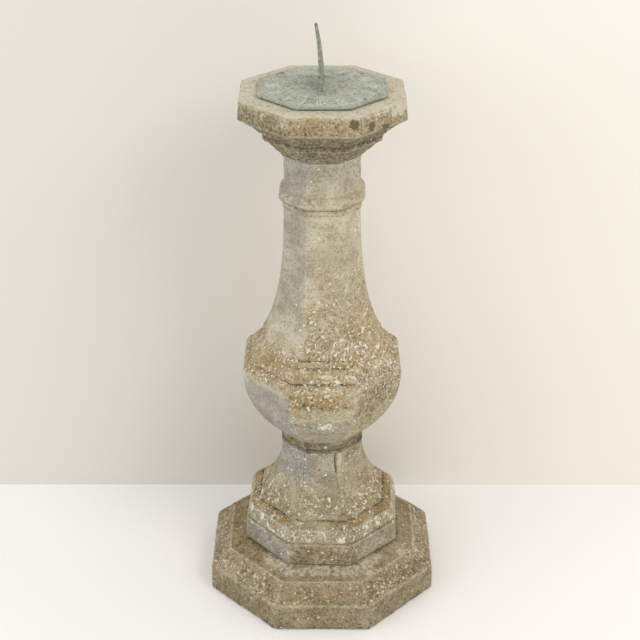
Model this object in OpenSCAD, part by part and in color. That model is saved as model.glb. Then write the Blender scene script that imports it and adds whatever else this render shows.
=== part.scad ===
// Garden sundial: a dry-stacked octagonal stone pedestal with a bronze dial and gnomon.
// Millimetres, +Z up. The origin is the middle of the underside of the base.
// Every stone has a flat side facing -Y. "Width" is always measured across the flats.

/* [Base] */
// Width of the base at the floor
base_w = 400; // [340:1:480]
// Height of the upright side of the base
base_side_h = 50; // [30:1:80]
// How far the upright side leans in at its top
base_draft = 1.4; // [0:0.1:4]
// How far the sloped step comes in
base_step_in = 29.5; // [15:0.5:34]
// Height of the sloped step
base_step_h = 26.5; // [15:0.5:40]
// Rise from the top of the step to the seat for the foot
base_crown_h = 13.5; // [4:0.5:20]
// Ring of seat left showing around the foot
base_seat_margin = 2.5; // [1:0.5:8]

/* [Foot] */
// Width of the foot at its bottom
foot_w = 271; // [225:1:300]
// Height of the upright side of the foot
foot_side_h = 41.5; // [25:0.5:60]
// How far that side leans in at its top
foot_draft = 2; // [0:0.5:4]
// Worn edge around the underside of the foot
foot_edge = 3; // [1:0.5:5]
// Depth of the quirk over the upright side
foot_quirk = 3.2; // [1:0.1:5]
// Height of the quirk
foot_quirk_h = 5; // [3:0.5:8]
// Height of the round band over the quirk
foot_band_h = 23; // [15:0.5:35]
// How far the round band comes in at its top
foot_band_in = 9.5; // [5:0.5:14]
// Height of the weathered slope between the band and the flare
foot_slope_h = 10; // [4:0.5:16]
// How far the weathered slope comes in to the flare
foot_slope_in = 12.4; // [6:0.1:20]
// Height of the flare and neck
foot_flare_h = 113; // [90:1:150]
// How sharply the flare spreads
foot_flare_power = 2.8; // [2:0.1:4]
// How far the foot stands turned on the base, in degrees
foot_turn = -2.5; // [-6:0.5:6]

/* [Neck] */
// Width of the neck, where the foot and the baluster meet
neck_w = 138; // [120:1:150]
// Thickness of the mortar bed between the foot and the baluster
mortar_h = 5.5; // [3:0.5:10]
// How far the mortar stands proud of the neck
mortar_proud = 1.8; // [0:0.2:4]

/* [Baluster] */
// How far the collar at the bottom of the baluster stands out from the neck
collar_out = 3.5; // [1:0.5:8]
// Height of the collar
collar_h = 15; // [10:0.5:20]
// Worn edge of the collar
collar_edge = 2.5; // [1:0.5:5]
// Width of the bulb at its widest
bulb_w = 268; // [220:1:290]
// Height of the bulb from the collar to its widest place
bulb_h = 131; // [100:1:160]
// Fullness of the underside of the bulb, from 0.5 a quarter ellipse to 1 a parabola
bulb_power = 0.85; // [0.5:0.05:1]
// Height from the widest place to the top of the bulb's round edge
rim_h = 15; // [10:0.5:25]
// How far the bulb comes in over that edge
rim_in = 8; // [2:0.5:12]
// Height of the quirk between the bulb and the shoulder
rim_quirk_h = 4; // [2:0.5:6]
// How far the shoulder is set back behind the bulb's edge
rim_set_back = 3.5; // [1:0.5:6]
// Depth of the quirk behind the shoulder's lower edge
rim_quirk = 1.2; // [0.5:0.1:3]
// Height of the sloped shoulder
shoulder_h = 19; // [12:0.5:30]
// How far the shoulder comes in
shoulder_in = 18; // [10:0.5:26]
// Height of the small upright fillet over the shoulder
fillet_h = 10.5; // [6:0.5:16]
// How far the fillet stands out from the foot of the shaft
fillet_out = 4.5; // [2:0.5:8]
// How far the fillet leans in at its top
fillet_draft = 2.5; // [0:0.5:4]
// Width of the shaft at its thinnest
shaft_w = 124; // [110:1:140]
// Plain taper of the shaft over its height
shaft_taper = 16; // [0:1:22]
// How sharply the foot of the shaft spreads
shaft_power = 3.6; // [2.5:0.1:6]
// Height of the shaft from the fillet to the astragal ring
shaft_h = 245.5; // [200:0.5:300]
// Height of the astragal ring with its fillet
ring_h = 29; // [20:0.5:36]
// How far the astragal ring stands out from the shaft
ring_out = 8.5; // [4:0.5:14]
// How far the fillet under the ring stands out from the shaft
ring_fillet_out = 2.5; // [1:0.5:4]
// Height of the plain necking over the ring
necking_h = 58; // [40:0.5:80]

/* [Capital] */
// How far the underside of the capital stands out from the shaft
cap_under_out = 0.5; // [0:0.5:4]
// Height of the lower splay
cap_splay_h = 28; // [20:0.5:40]
// How far the lower splay spreads
cap_splay_out = 25; // [16:0.5:34]
// Height of the small fillet over the splay
cap_fillet_h = 10; // [5:0.5:14]
// How far that fillet stands out from the splay
cap_fillet_out = 6.5; // [3:0.5:9]
// Height of the upper moulding
cap_mould_h = 22; // [15:0.5:30]
// How hollow the upper moulding is, 1 straight and more hollower
cap_mould_power = 1.2; // [1:0.1:2]
// Height of the sloping soffit
cap_soffit_h = 8.5; // [4:0.5:14]
// How far the soffit comes in under the upright side
cap_soffit_in = 14.5; // [8:0.5:20]
// Width of the capital
cap_w = 264.5; // [236:0.5:290]
// Height of the upright side of the capital
cap_side_h = 31.5; // [20:0.5:45]
// How far that side leans in at its top
cap_draft = 2.2; // [0:0.1:5]
// Worn edge around the top of the capital
cap_edge = 2; // [0.5:0.5:4]

/* [Dial] */
// Width of the dial plate
plate_w = 202; // [168:1:220]
// Thickness of the dial plate
plate_t = 3.4; // [2:0.1:6]
// Thickness of the bedding mortar under the plate
bedding_t = 2; // [1:0.5:5]
// How far the bedding stays inside the edge of the plate
bedding_inset = 5; // [3:0.5:10]
// Distance from the edge of the plate to the outer raised ring
outer_ring_inset = 5; // [3:0.5:8]
// Distance between the two raised rings around the numerals
ring_spacing = 5; // [3:0.5:10]
// Mean radius of the inner raised ring
inner_ring_r = 57; // [45:0.5:65]
// Height of the raised rings
ring_line_h = 0.6; // [0.3:0.1:1]
// Width of the raised rings
ring_line_w = 1.2; // [1:0.1:3]

/* [Gnomon] */
// Length of the gnomon along the plate
gnomon_l = 88; // [70:1:100]
// Latitude that the gnomon is cast for, in degrees
gnomon_latitude = 52; // [40:1:58]
// Distance from the middle of the dial to the upright end of the gnomon
gnomon_front = 27; // [15:1:40]
// Thickness of the gnomon at the plate
gnomon_foot_t = 7; // [4:0.1:9]
// Thickness of the gnomon at its tip
gnomon_tip_t = 5.2; // [2:0.1:6]
// How far the upright edge is hollowed
gnomon_hollow = 9; // [0:1:16]
// Width of the blunt tip
gnomon_tip_w = 4; // [2:0.5:6]
// How far the tip is bent to the left
gnomon_bend = 8; // [0:0.5:14]
// How far the gnomon stands turned about its toe, in degrees
gnomon_turn = -2; // [-5:0.5:5]

/* [Dowels] */
// Diameter of the dowel between the base and the foot
base_dowel_d = 25; // [20:1:32]
// How deep that dowel sits in the base
base_dowel_in = 50; // [35:1:60]
// How far that dowel stands up into the foot
base_dowel_out = 40; // [30:1:50]
// Thickness of the grout around the dowel in the base
grout_t = 3.5; // [2:0.5:6]
// Diameter of the rod cast through the baluster
core_rod_d = 16; // [12:1:20]
// How far the rod reaches down into the foot
core_rod_down = 42; // [30:1:50]
// How far the rod stands up into the capital
core_rod_up = 34; // [25:1:45]
// Room around a dowel in a socket that turns on it
turning_room = 1.2; // [0.8:0.1:2]
// Room around the rod in the foot's socket, filled with mortar
mortar_room = 4; // [3:0.5:6]
// Room past the end of a dowel
end_room = 4; // [2:0.5:8]
// Hair gap of the two dry joints that turn
dry_gap = 0.1; // [0.05:0.05:0.5]
// Skin between pieces that are cast or driven around one another
cast_gap = 0.05; // [0.02:0.01:0.1]

/* [Screws] */
// Distance from the edge of the plate to the dial screws
dial_screw_inset = 9; // [7:0.5:12]
// Diameter of the dial screws
dial_screw_d = 3.5; // [3:0.1:4.5]
// Length of the dial screws under the head
dial_screw_l = 28; // [20:1:40]
// Diameter of the round heads
dial_screw_head_d = 7; // [6:0.5:9]
// Height of the round heads
dial_screw_head_h = 2.4; // [1.5:0.1:3.5]
// Diameter of the lead plugs
plug_d = 8; // [7:0.5:11]
// Length of the lead plugs
plug_l = 32; // [25:1:45]
// Diameter of the gnomon screws
gnomon_screw_d = 2.5; // [2:0.1:3]
// Distance from the gnomon's upright end to its first screw
gnomon_screw_front = 12; // [8:1:16]
// How far the gnomon screws reach into the gnomon
gnomon_screw_in = 8; // [5:0.5:10]
// Diameter of their countersunk heads
gnomon_screw_head_d = 4.7; // [4:0.1:6]
// Room around a screw in its clearance hole
screw_room = 0.4; // [0.2:0.1:0.8]

/* [Hidden] */
$fn = 96;
CUT = 1;                 // how far a cutting solid runs past the face that it cuts
FLAT_TURN = 22.5;        // turns an octagon so that a flat side faces -Y
SHAFT_STEPS = 20;        // courses in the sweep of the shaft
BULB_STEPS = 16;         // courses in the sweep of the bulb
FLARE_STEPS = 12;        // courses in the sweep of the foot's flare
BAND_STEPS = 6;          // courses in each quarter-round
GNOMON_STEPS = 24;       // courses up the gnomon
BEND_POWER = 2.2;        // the bend is sharper towards the tip
RING_FILLET = 0.22;      // top of the fillet under the astragal, as a share of the ring's height
RING_QUIRK = 0.32;       // bottom of the round of the astragal
RING_WIDEST = 0.58;      // where the astragal is widest
RING_TOP_POWER = 1.3;    // the round runs out softly into the necking
SHAFT_CROWD = 1.4;       // courses crowd towards the spreading foot of the shaft
FILLET_STEP = 1;         // the last of a fillet's height, where it steps in
BACK_SCREW = 0.72;       // how far along the gnomon its second screw stands

// Levels, from the floor up
step_z = base_side_h + base_step_h;
seat_z = step_z + base_crown_h;
foot_z = seat_z + dry_gap;
foot_quirk_z = foot_z + foot_side_h;
foot_band_z = foot_quirk_z + foot_quirk_h;
foot_slope_z = foot_band_z + foot_band_h;
foot_flare_z = foot_slope_z + foot_slope_h;
foot_top_z = foot_flare_z + foot_flare_h;
baluster_z = foot_top_z + mortar_h;
bulb_z = baluster_z + collar_h;
bulb_wide_z = bulb_z + bulb_h;
rim_z = bulb_wide_z + rim_h + rim_quirk_h;
shoulder_z = rim_z + shoulder_h;
shaft_z = shoulder_z + fillet_h;
ring_z = shaft_z + shaft_h;
necking_z = ring_z + ring_h;
neck_top_z = necking_z + necking_h;
cap_z = neck_top_z + dry_gap;
cap_splay_z = cap_z + cap_splay_h;
cap_fillet_z = cap_splay_z + cap_fillet_h;
cap_mould_z = cap_fillet_z + cap_mould_h;
cap_soffit_z = cap_mould_z + cap_soffit_h;
cap_top_z = cap_soffit_z + cap_side_h;
plate_z = cap_top_z + bedding_t;
dial_z = plate_z + plate_t;

// Sizes that follow from others
base_seat_w = foot_w + 2 * base_seat_margin;
base_step_w = base_w - 2 * base_draft - 2 * base_step_in;
foot_band_w = foot_w - 2 * foot_draft - foot_quirk;
foot_flare_w = foot_band_w - 2 * foot_band_in - 2 * foot_slope_in;
collar_w = neck_w + 2 * collar_out;
shoulder_w = bulb_w - 2 * rim_in - 2 * rim_set_back;
shoulder_top_w = shoulder_w - 2 * shoulder_in;
shaft_foot_w = shoulder_top_w - 2 * fillet_out;
ring_w = shaft_w + 2 * ring_out;
ring_fillet_w = shaft_w + 2 * ring_fillet_out;
cap_under_w = shaft_w + 2 * cap_under_out;
cap_splay_w = cap_under_w + 2 * cap_splay_out;
cap_fillet_w = cap_splay_w + 2 * cap_fillet_out;
cap_mould_w = cap_w - 2 * cap_soffit_in;
cap_top_w = cap_w - 2 * cap_draft;
outer_ring_r = plate_w / 2 - outer_ring_inset;
gnomon_h = gnomon_l * tan(gnomon_latitude);
gnomon_top = gnomon_h * (1 - gnomon_tip_w / gnomon_l);
dial_screw_r = plate_w / 2 - dial_screw_inset;
gnomon_screw_len = plate_t + gnomon_screw_in;
gnomon_screw_head_h = (gnomon_screw_head_d - gnomon_screw_d) / 2;
gnomon_screw_y = [gnomon_screw_front, gnomon_l * BACK_SCREW];

// One of the eight corners of an octagon of width w
function corner(w, k) = let (r = w / 2 / cos(22.5), t = FLAT_TURN + 45 * k) [r * cos(t), r * sin(t)];

// A quarter round that starts upright at height z and width w, and comes in at its top
function quarter(z, w, h, in) =
    [for (i = [0 : BAND_STEPS]) let (t = 90 * i / BAND_STEPS) [z + h * sin(t), w - 2 * in * (1 - cos(t))]];

// A solid with eight flat sides whose width follows a list of [height, width]
module octagonal(rings) {
    count = len(rings);
    points = [for (ring = rings) for (k = [0 : 7]) concat(corner(ring[1], k), [ring[0]])];
    sides = [for (i = [0 : count - 2]) for (k = [0 : 7])
        [8 * i + k, 8 * i + 8 + k, 8 * i + 8 + (k + 1) % 8, 8 * i + (k + 1) % 8]];
    underside = [for (k = [0 : 7]) k];
    top = [for (k = [7 : -1 : 0]) 8 * (count - 1) + k];
    polyhedron(points = points, faces = concat([underside, top], sides), convexity = 6);
}

// A plain octagonal slab
module octagon_slab(w, h) {
    rotate([0, 0, FLAT_TURN]) cylinder(h = h, r = w / 2 / cos(22.5), $fn = 8);
}

// Places its children at the four dial screws, in the middle of the diagonal sides
module at_dial_screws() {
    for (k = [0 : 3]) rotate([0, 0, 45 + 90 * k]) translate([dial_screw_r, 0, 0]) children();
}

// Places its children in the gnomon's own frame: +Y runs from its upright end to its toe
module in_gnomon_frame() {
    translate([0, gnomon_l - gnomon_front, dial_z]) rotate([0, 0, gnomon_turn])
        translate([0, -gnomon_l, 0]) children();
}

// Places its children at the two gnomon screws
module at_gnomon_screws() {
    in_gnomon_frame() for (y = gnomon_screw_y) translate([0, y, 0]) children();
}

function base_outline() = [
    [0, base_w],
    [base_side_h, base_w - 2 * base_draft],
    [step_z, base_step_w],
    [seat_z, base_seat_w]
];

module base_slab() {
    color([0.62, 0.56, 0.45]) difference() {
        octagonal(base_outline());
        translate([0, 0, seat_z - base_dowel_in])
            cylinder(h = base_dowel_in + CUT, d = base_dowel_d + 2 * grout_t);
    }
}

module base_dowel() {
    color([0.45, 0.44, 0.43]) translate([0, 0, seat_z - base_dowel_in])
        cylinder(h = base_dowel_in + base_dowel_out, d = base_dowel_d);
}

module base_dowel_grout() {
    color([0.58, 0.57, 0.54]) translate([0, 0, seat_z - base_dowel_in]) difference() {
        cylinder(h = base_dowel_in, d = base_dowel_d + 2 * grout_t - 2 * cast_gap);
        translate([0, 0, -CUT]) cylinder(h = base_dowel_in + 2 * CUT, d = base_dowel_d + 2 * cast_gap);
    }
}

function foot_flare() = [for (i = [0 : FLARE_STEPS]) let (t = 1 - i / FLARE_STEPS)
    [foot_top_z - foot_flare_h * t,
     neck_w + (foot_flare_w - neck_w) * pow(t, foot_flare_power)]];

function foot_outline() = concat(
    [[foot_z, foot_w - 2 * foot_edge],
     [foot_z + foot_edge, foot_w],
     [foot_quirk_z, foot_w - 2 * foot_draft],
     [foot_quirk_z + foot_quirk_h / 3, foot_w - 2 * foot_draft - 2 * foot_quirk]],
    quarter(foot_band_z, foot_band_w, foot_band_h, foot_band_in),
    foot_flare());

module foot_block() {
    color([0.66, 0.61, 0.50]) difference() {
        rotate([0, 0, foot_turn]) octagonal(foot_outline());
        translate([0, 0, seat_z - CUT])
            cylinder(h = base_dowel_out + end_room + CUT, d = base_dowel_d + 2 * turning_room);
        translate([0, 0, foot_top_z - core_rod_down])
            cylinder(h = core_rod_down + CUT, d = core_rod_d + 2 * mortar_room);
    }
}

module neck_mortar() {
    color([0.47, 0.44, 0.37]) difference() {
        union() {
            translate([0, 0, foot_top_z]) octagon_slab(neck_w + 2 * mortar_proud, mortar_h);
            translate([0, 0, foot_top_z - core_rod_down])
                cylinder(h = core_rod_down + CUT, d = core_rod_d + 2 * mortar_room - 2 * cast_gap);
        }
        translate([0, 0, foot_top_z - core_rod_down - CUT])
            cylinder(h = core_rod_down + mortar_h + 2 * CUT, d = core_rod_d + 2 * cast_gap);
    }
}

function bulb_underside() = [for (i = [1 : BULB_STEPS]) let (
    t = 90 * i / BULB_STEPS,
    out = pow(sin(t), 2 * bulb_power))
    [bulb_wide_z - bulb_h * cos(t), neck_w + (bulb_w - neck_w) * out]];

function rim() = concat(
    [for (i = [1 : BAND_STEPS]) let (t = 90 * i / BAND_STEPS)
        [bulb_wide_z + rim_h * sin(t), bulb_w - 2 * rim_in * (1 - cos(t))]],
    [[rim_z - rim_quirk_h / 2, shoulder_w - 2 * rim_quirk],
     [rim_z, shoulder_w]]);

function shaft() = [for (i = [0 : SHAFT_STEPS]) let (t = pow(1 - i / SHAFT_STEPS, SHAFT_CROWD))
    [ring_z - shaft_h * t,
     shaft_w + shaft_taper * t + (shaft_foot_w - shaft_w - shaft_taper) * pow(t, shaft_power)]];

function astragal() = concat(
    [[ring_z, ring_fillet_w],
     [ring_z + ring_h * RING_FILLET, ring_fillet_w],
     [ring_z + ring_h * RING_QUIRK, ring_fillet_w - ring_fillet_out]],
    [for (i = [1 : BAND_STEPS]) let (t = 90 * i / BAND_STEPS)
        [ring_z + ring_h * (RING_QUIRK + (RING_WIDEST - RING_QUIRK) * (1 - cos(t))),
         ring_fillet_w + (ring_w - ring_fillet_w) * sin(t)]],
    [for (i = [1 : BAND_STEPS]) let (t = 90 * i / BAND_STEPS)
        [ring_z + ring_h * (RING_WIDEST + (1 - RING_WIDEST) * sin(t)),
         shaft_w + (ring_w - shaft_w) * pow(cos(t), RING_TOP_POWER)]]);

function baluster_outline() = concat(
    [[baluster_z, collar_w - 2 * collar_edge],
     [baluster_z + collar_edge, collar_w],
     [bulb_z - collar_edge, collar_w],
     [bulb_z, neck_w]],
    bulb_underside(),
    rim(),
    [[shoulder_z, shoulder_top_w],
     [shaft_z - FILLET_STEP, shoulder_top_w - 2 * fillet_draft]],
    shaft(),
    astragal(),
    [[neck_top_z, shaft_w]]);

module baluster() {
    color([0.72, 0.68, 0.60]) difference() {
        octagonal(baluster_outline());
        translate([0, 0, baluster_z - CUT])
            cylinder(h = neck_top_z - baluster_z + 2 * CUT, d = core_rod_d + 2 * cast_gap);
    }
}

module core_rod() {
    color([0.42, 0.36, 0.31]) translate([0, 0, foot_top_z - core_rod_down])
        cylinder(h = cap_z + core_rod_up - foot_top_z + core_rod_down, d = core_rod_d);
}

function capital_outline() = concat(
    [[cap_z, cap_under_w],
     [cap_splay_z, cap_splay_w],
     [cap_splay_z + FILLET_STEP, cap_fillet_w],
     [cap_fillet_z, cap_fillet_w]],
    [for (i = [1 : BAND_STEPS]) let (t = i / BAND_STEPS)
        [cap_fillet_z + cap_mould_h * t,
         cap_fillet_w + (cap_mould_w - cap_fillet_w) * pow(t, cap_mould_power)]],
    [[cap_soffit_z, cap_w],
     [cap_top_z - cap_edge, cap_top_w],
     [cap_top_z, cap_top_w - 2 * cap_edge]]);

module capital() {
    color([0.76, 0.70, 0.58]) difference() {
        octagonal(capital_outline());
        translate([0, 0, cap_z - CUT])
            cylinder(h = core_rod_up + end_room + CUT, d = core_rod_d + 2 * turning_room);
        at_dial_screws() translate([0, 0, cap_top_z - plug_l]) cylinder(h = plug_l + CUT, d = plug_d);
    }
}

module screw_plugs() {
    color([0.50, 0.50, 0.52]) at_dial_screws() translate([0, 0, cap_top_z - plug_l]) difference() {
        cylinder(h = plug_l, d = plug_d - 2 * cast_gap);
        translate([0, 0, -CUT]) cylinder(h = plug_l + 2 * CUT, d = dial_screw_d + 2 * cast_gap);
    }
}

module dial_bedding() {
    color([0.44, 0.42, 0.36]) difference() {
        translate([0, 0, cap_top_z]) octagon_slab(plate_w - 2 * bedding_inset, bedding_t);
        at_dial_screws() translate([0, 0, cap_top_z - CUT])
            cylinder(h = bedding_t + 2 * CUT, d = dial_screw_d + 2 * screw_room);
    }
}

// A raised circular line on the dial
module ring_line(r) {
    translate([0, 0, dial_z]) rotate_extrude() translate([r - ring_line_w / 2, 0])
        square([ring_line_w, ring_line_h]);
}

module dial_plate() {
    color([0.53, 0.57, 0.53]) difference() {
        union() {
            translate([0, 0, plate_z]) octagon_slab(plate_w, plate_t);
            ring_line(outer_ring_r);
            ring_line(outer_ring_r - ring_spacing);
            ring_line(inner_ring_r);
        }
        at_dial_screws() translate([0, 0, plate_z - CUT])
            cylinder(h = plate_t + 2 * CUT, d = dial_screw_d + 2 * screw_room);
        at_dial_screws() translate([0, 0, dial_z])
            cylinder(h = ring_line_h + CUT, d = dial_screw_head_d + 2 * screw_room);
        in_gnomon_frame() translate([-gnomon_foot_t / 2 - screw_room, -screw_room, 0])
            cube([gnomon_foot_t + 2 * screw_room, gnomon_l + 2 * screw_room, ring_line_h + CUT]);
        at_gnomon_screws() translate([0, 0, -plate_t - CUT])
            cylinder(h = plate_t + 2 * CUT, d = gnomon_screw_d + 2 * screw_room);
        at_gnomon_screws() translate([0, 0, -plate_t])
            cylinder(h = gnomon_screw_head_h, d1 = gnomon_screw_head_d + 2 * screw_room,
                d2 = gnomon_screw_d + 2 * screw_room);
    }
}

module dial_screws() {
    dome_r = (pow(dial_screw_head_d / 2, 2) + pow(dial_screw_head_h, 2)) / (2 * dial_screw_head_h);
    color([0.45, 0.47, 0.42]) at_dial_screws() translate([0, 0, dial_z]) union() {
        translate([0, 0, -dial_screw_l]) cylinder(h = dial_screw_l, d = dial_screw_d);
        intersection() {
            translate([0, 0, dial_screw_head_h - dome_r]) sphere(r = dome_r);
            cylinder(h = dial_screw_head_h + CUT, d = dial_screw_head_d + CUT);
        }
    }
}

// The gnomon's hollow upright edge and its sloping style, as distances along the plate
function gnomon_back(h) = gnomon_hollow * sin(180 * h / gnomon_h);
function gnomon_style(h) = gnomon_l * (1 - h / gnomon_h);

module gnomon_fin() {
    points = [for (i = [0 : GNOMON_STEPS]) let (
        h = gnomon_top * i / GNOMON_STEPS,
        x = -gnomon_bend * pow(h / gnomon_h, BEND_POWER),
        t = gnomon_foot_t + (gnomon_tip_t - gnomon_foot_t) * h / gnomon_h,
        back = min(gnomon_back(h), gnomon_style(h) - gnomon_tip_w))
        each [[x + t / 2, back, h], [x + t / 2, gnomon_style(h), h],
            [x - t / 2, gnomon_style(h), h], [x - t / 2, back, h]]];
    sides = [for (i = [0 : GNOMON_STEPS - 1]) for (k = [0 : 3])
        each [[4 * i + k, 4 * i + 4 + k, 4 * i + (k + 1) % 4],
            [4 * i + (k + 1) % 4, 4 * i + 4 + k, 4 * i + 4 + (k + 1) % 4]]];
    tip = 4 * GNOMON_STEPS;
    ends = [[0, 1, 2, 3], [tip + 3, tip + 2, tip + 1, tip]];
    polyhedron(points = points, faces = concat(ends, sides), convexity = 4);
}

module gnomon() {
    color([0.47, 0.51, 0.46]) difference() {
        in_gnomon_frame() gnomon_fin();
        at_gnomon_screws() translate([0, 0, -CUT])
            cylinder(h = gnomon_screw_in + CUT, d = gnomon_screw_d + 2 * cast_gap);
    }
}

module gnomon_screws() {
    color([0.55, 0.52, 0.40]) at_gnomon_screws() translate([0, 0, -plate_t]) union() {
        cylinder(h = gnomon_screw_len, d = gnomon_screw_d);
        cylinder(h = gnomon_screw_head_h, d1 = gnomon_screw_head_d, d2 = gnomon_screw_d);
    }
}

base_slab();
base_dowel();
base_dowel_grout();
foot_block();
neck_mortar();
baluster();
core_rod();
capital();
screw_plugs();
dial_bedding();
dial_plate();
dial_screws();
gnomon();
gnomon_screws();
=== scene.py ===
"""Garden sundial: weathered stone pedestal, bronze dial and gnomon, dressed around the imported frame."""

import logging
import math
from dataclasses import dataclass
from enum import Enum
from itertools import product

import bpy
import numpy as np
from mathutils import Matrix, Vector


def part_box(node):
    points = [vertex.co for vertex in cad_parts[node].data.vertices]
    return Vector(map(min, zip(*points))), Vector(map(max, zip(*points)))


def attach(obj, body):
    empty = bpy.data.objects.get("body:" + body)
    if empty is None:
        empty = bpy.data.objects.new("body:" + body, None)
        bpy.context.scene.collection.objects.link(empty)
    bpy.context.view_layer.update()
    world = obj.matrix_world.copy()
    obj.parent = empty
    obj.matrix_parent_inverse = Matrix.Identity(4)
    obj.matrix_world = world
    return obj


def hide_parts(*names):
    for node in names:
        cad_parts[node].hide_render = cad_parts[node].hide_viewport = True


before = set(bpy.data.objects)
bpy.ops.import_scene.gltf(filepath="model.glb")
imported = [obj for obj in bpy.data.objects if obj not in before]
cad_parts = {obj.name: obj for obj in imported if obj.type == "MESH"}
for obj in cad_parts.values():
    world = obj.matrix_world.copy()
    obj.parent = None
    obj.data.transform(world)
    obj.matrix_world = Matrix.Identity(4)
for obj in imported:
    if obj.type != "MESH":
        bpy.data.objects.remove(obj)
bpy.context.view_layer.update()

LOG = logging.getLogger("sundial")
MM = 0.001
SIDES = 8
HALF_SIDE_ANGLE = math.pi / SIDES
FRONT = -math.pi / 2  # the side that faces -Y
AXIS = 4  # a path that runs to the axis stops this many millimetres from it
SOCKET_REACH = 0.03  # nothing on the outside of a stone is this close to the axis

RING_TOLERANCE = 2e-5  # corners whose heights differ by less than this, in metres, are one ring
WIDTH_TOLERANCE = 5e-5  # and those this close to the widest are its outer corners
RING_GAP = 3e-5  # rings closer than this are the same ring twice
HIDDEN_STRIDE = 3.5  # hidden rows stand this many times further apart
CORNER_REACH = 7  # an upright arris is felt this many millimetres away
CROWDING = 0.6  # how much the points of a side crowd towards its arrises
EDGE_TURNS = (0.05, 0.17)  # the outline's turn where an edge starts to wear and where it wears fully
CREASE_SHADE_TURNS = (0.04, 0.2)  # and where a hollow starts to take painted crease shade and where it is full
SINK_RIM = (0.42, 0.62)  # how close to a patch its sunken floor starts and is deepest

Array = np.ndarray
Object = bpy.types.Object
Node = bpy.types.Node
Socket = bpy.types.NodeSocket
Value = float | int | tuple | str | bpy.types.ID | Socket
Tint = tuple[int, int, int]
Given = dict[str, Socket]  # a group's inputs by name
Place = tuple[float, float]
Path = list[tuple[float, float, float]]  # distance from the axis, height and roundness of each row


class Ends(Enum):
    """How a shell of rows is closed."""

    POINTED = "each end is closed by a fan"
    JOINED = "the last row meets the first"


class Skin(Enum):
    """What is painted on a stone's surface, one number from 0 to 1 at each point."""

    WEAR = "wear"
    # painted crease shade: darkening where the outline bends inward, standing in for the shade in creases and
    # hollows
    CREASE_SHADE = "hollow"
    LICHEN = "lichen"
    OCHRE = "ochre"
    # painted light and shade: a cool tint where the cooler light from the left falls and under the cap,
    # darker on most stones and paler on the capital
    COOL_LIGHT_AND_SHADE = "cool_light_and_shade"
    # dirt, and painted shade in grooves, under lips and ledges and where parts meet
    GRIME_AND_SHADE = "grime_and_shade"
    SPOT = "spot"
    SCAR = "scar"


# ---------------------------------------------------------------- roughness in space


@dataclass(frozen=True)
class Grain:
    """Repeatable roughness over points in space."""

    seed: int

    def _chance(self, cell: Array, channel: int) -> Array:
        """A number from 0 to 1 for each whole-number cell.

        Args:
            cell: Whole numbers, three for each point.
            channel: Which of several unrelated numbers to give.

        Returns:
            One number for each point.
        """
        h = cell.astype(np.int64) @ np.array([374761393, 668265263, 1440662683])
        h = (h + self.seed * 974711 + channel * 83492791) & 0xFFFFFFFF
        h = ((h ^ (h >> 13)) * 1274126177) & 0xFFFFFFFF
        h = ((h ^ (h >> 16)) * 739982445) & 0xFFFFFFFF
        return ((h ^ (h >> 15)) & 0xFFFFFF) / 0xFFFFFF

    def smooth(self, points: Array, size: float) -> Array:
        """Smooth noise from about -1 to 1.

        Args:
            points: Points in metres.
            size: The size of a lump in metres.

        Returns:
            One number for each point.
        """
        p = points / size + 17.3
        base = np.floor(p)
        t = p - base
        fade = t * t * t * (t * (t * 6 - 15) + 10)
        total = np.zeros(points.shape[:-1])
        for corner in product((0, 1), repeat=3):
            share = np.prod(np.where(np.array(corner) == 1, fade, 1 - fade), axis=-1)
            slope = sum(
                (self._chance(base + np.array(corner), k) * 2 - 1) * (t[..., k] - corner[k]) for k in range(3)
            )
            total += share * slope
        return total * 1.7

    def rough(self, points: Array, size: float, octaves: int = 3, keep: float = 0.5) -> Array:
        """Noise with finer and fainter noise added.

        Args:
            points: Points in metres.
            size: The size of the largest lumps in metres.
            octaves: How many layers, each half the size of the last.
            keep: How strong each layer is beside the last.

        Returns:
            One number for each point, from about -1 to 1.
        """
        total, strength, whole = np.zeros(points.shape[:-1]), 1.0, 0.0
        for layer in range(octaves):
            total += strength * self.smooth(points + 3.7 * layer, size / 2**layer)
            whole += strength
            strength *= keep
        return total / whole * 1.3

    def pits(self, points: Array, size: float, share: float, reach: float = 0.42) -> Array:
        """Round pits scattered through space.

        Args:
            points: Points in metres.
            size: The spacing of the pits in metres.
            share: How many of the places hold a pit, from 0 to 1.
            reach: The radius of a pit beside the spacing.

        Returns:
            0 outside the pits and up to 1 in their middles.
        """
        p = points / size
        base = np.floor(p)
        deepest = np.zeros(points.shape[:-1])
        for step in product((-1, 0, 1), repeat=3):
            cell = base + np.array(step)
            middle = cell + np.stack([self._chance(cell, k) for k in range(3)], axis=-1)
            radius = reach * (0.45 + 0.55 * self._chance(cell, 3))
            depth = np.clip(1 - np.linalg.norm(p - middle, axis=-1) / radius, 0, 1)
            there = self._chance(cell, 4) < share
            deepest = np.maximum(deepest, np.where(there, depth * (2 - depth), 0))
        return deepest


def ramp(values: Array, low: float, high: float) -> Array:
    """A soft step that is 0 at low and 1 at high; low may be above high."""
    t = np.clip((values - low) / (high - low), 0, 1)
    return t * t * (3 - 2 * t)


def between(values: Array, start: float, full: float, fading: float, gone: float) -> Array:
    """A share that rises from start to full and falls away again from fading to gone."""
    return ramp(values, start, full) * ramp(values, gone, fading)


def line(values: Array, middle: float, width: float) -> Array:
    """1 on a line and fading away on both sides of it."""
    return np.exp(-(((values - middle) / width) ** 2))


def most(*shares: Array) -> Array:
    """The largest of several shares at each point."""
    return np.maximum.reduce(shares)


# ---------------------------------------------------------------- meshes


def link(name: str, data: bpy.types.ID) -> Object:
    """Makes an object and links it to the scene.

    Args:
        name: The object's name.
        data: Its mesh, lamp or camera.

    Returns:
        The new object.
    """
    made = bpy.data.objects.new(name, data)
    bpy.context.scene.collection.objects.link(made)
    return made


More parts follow.
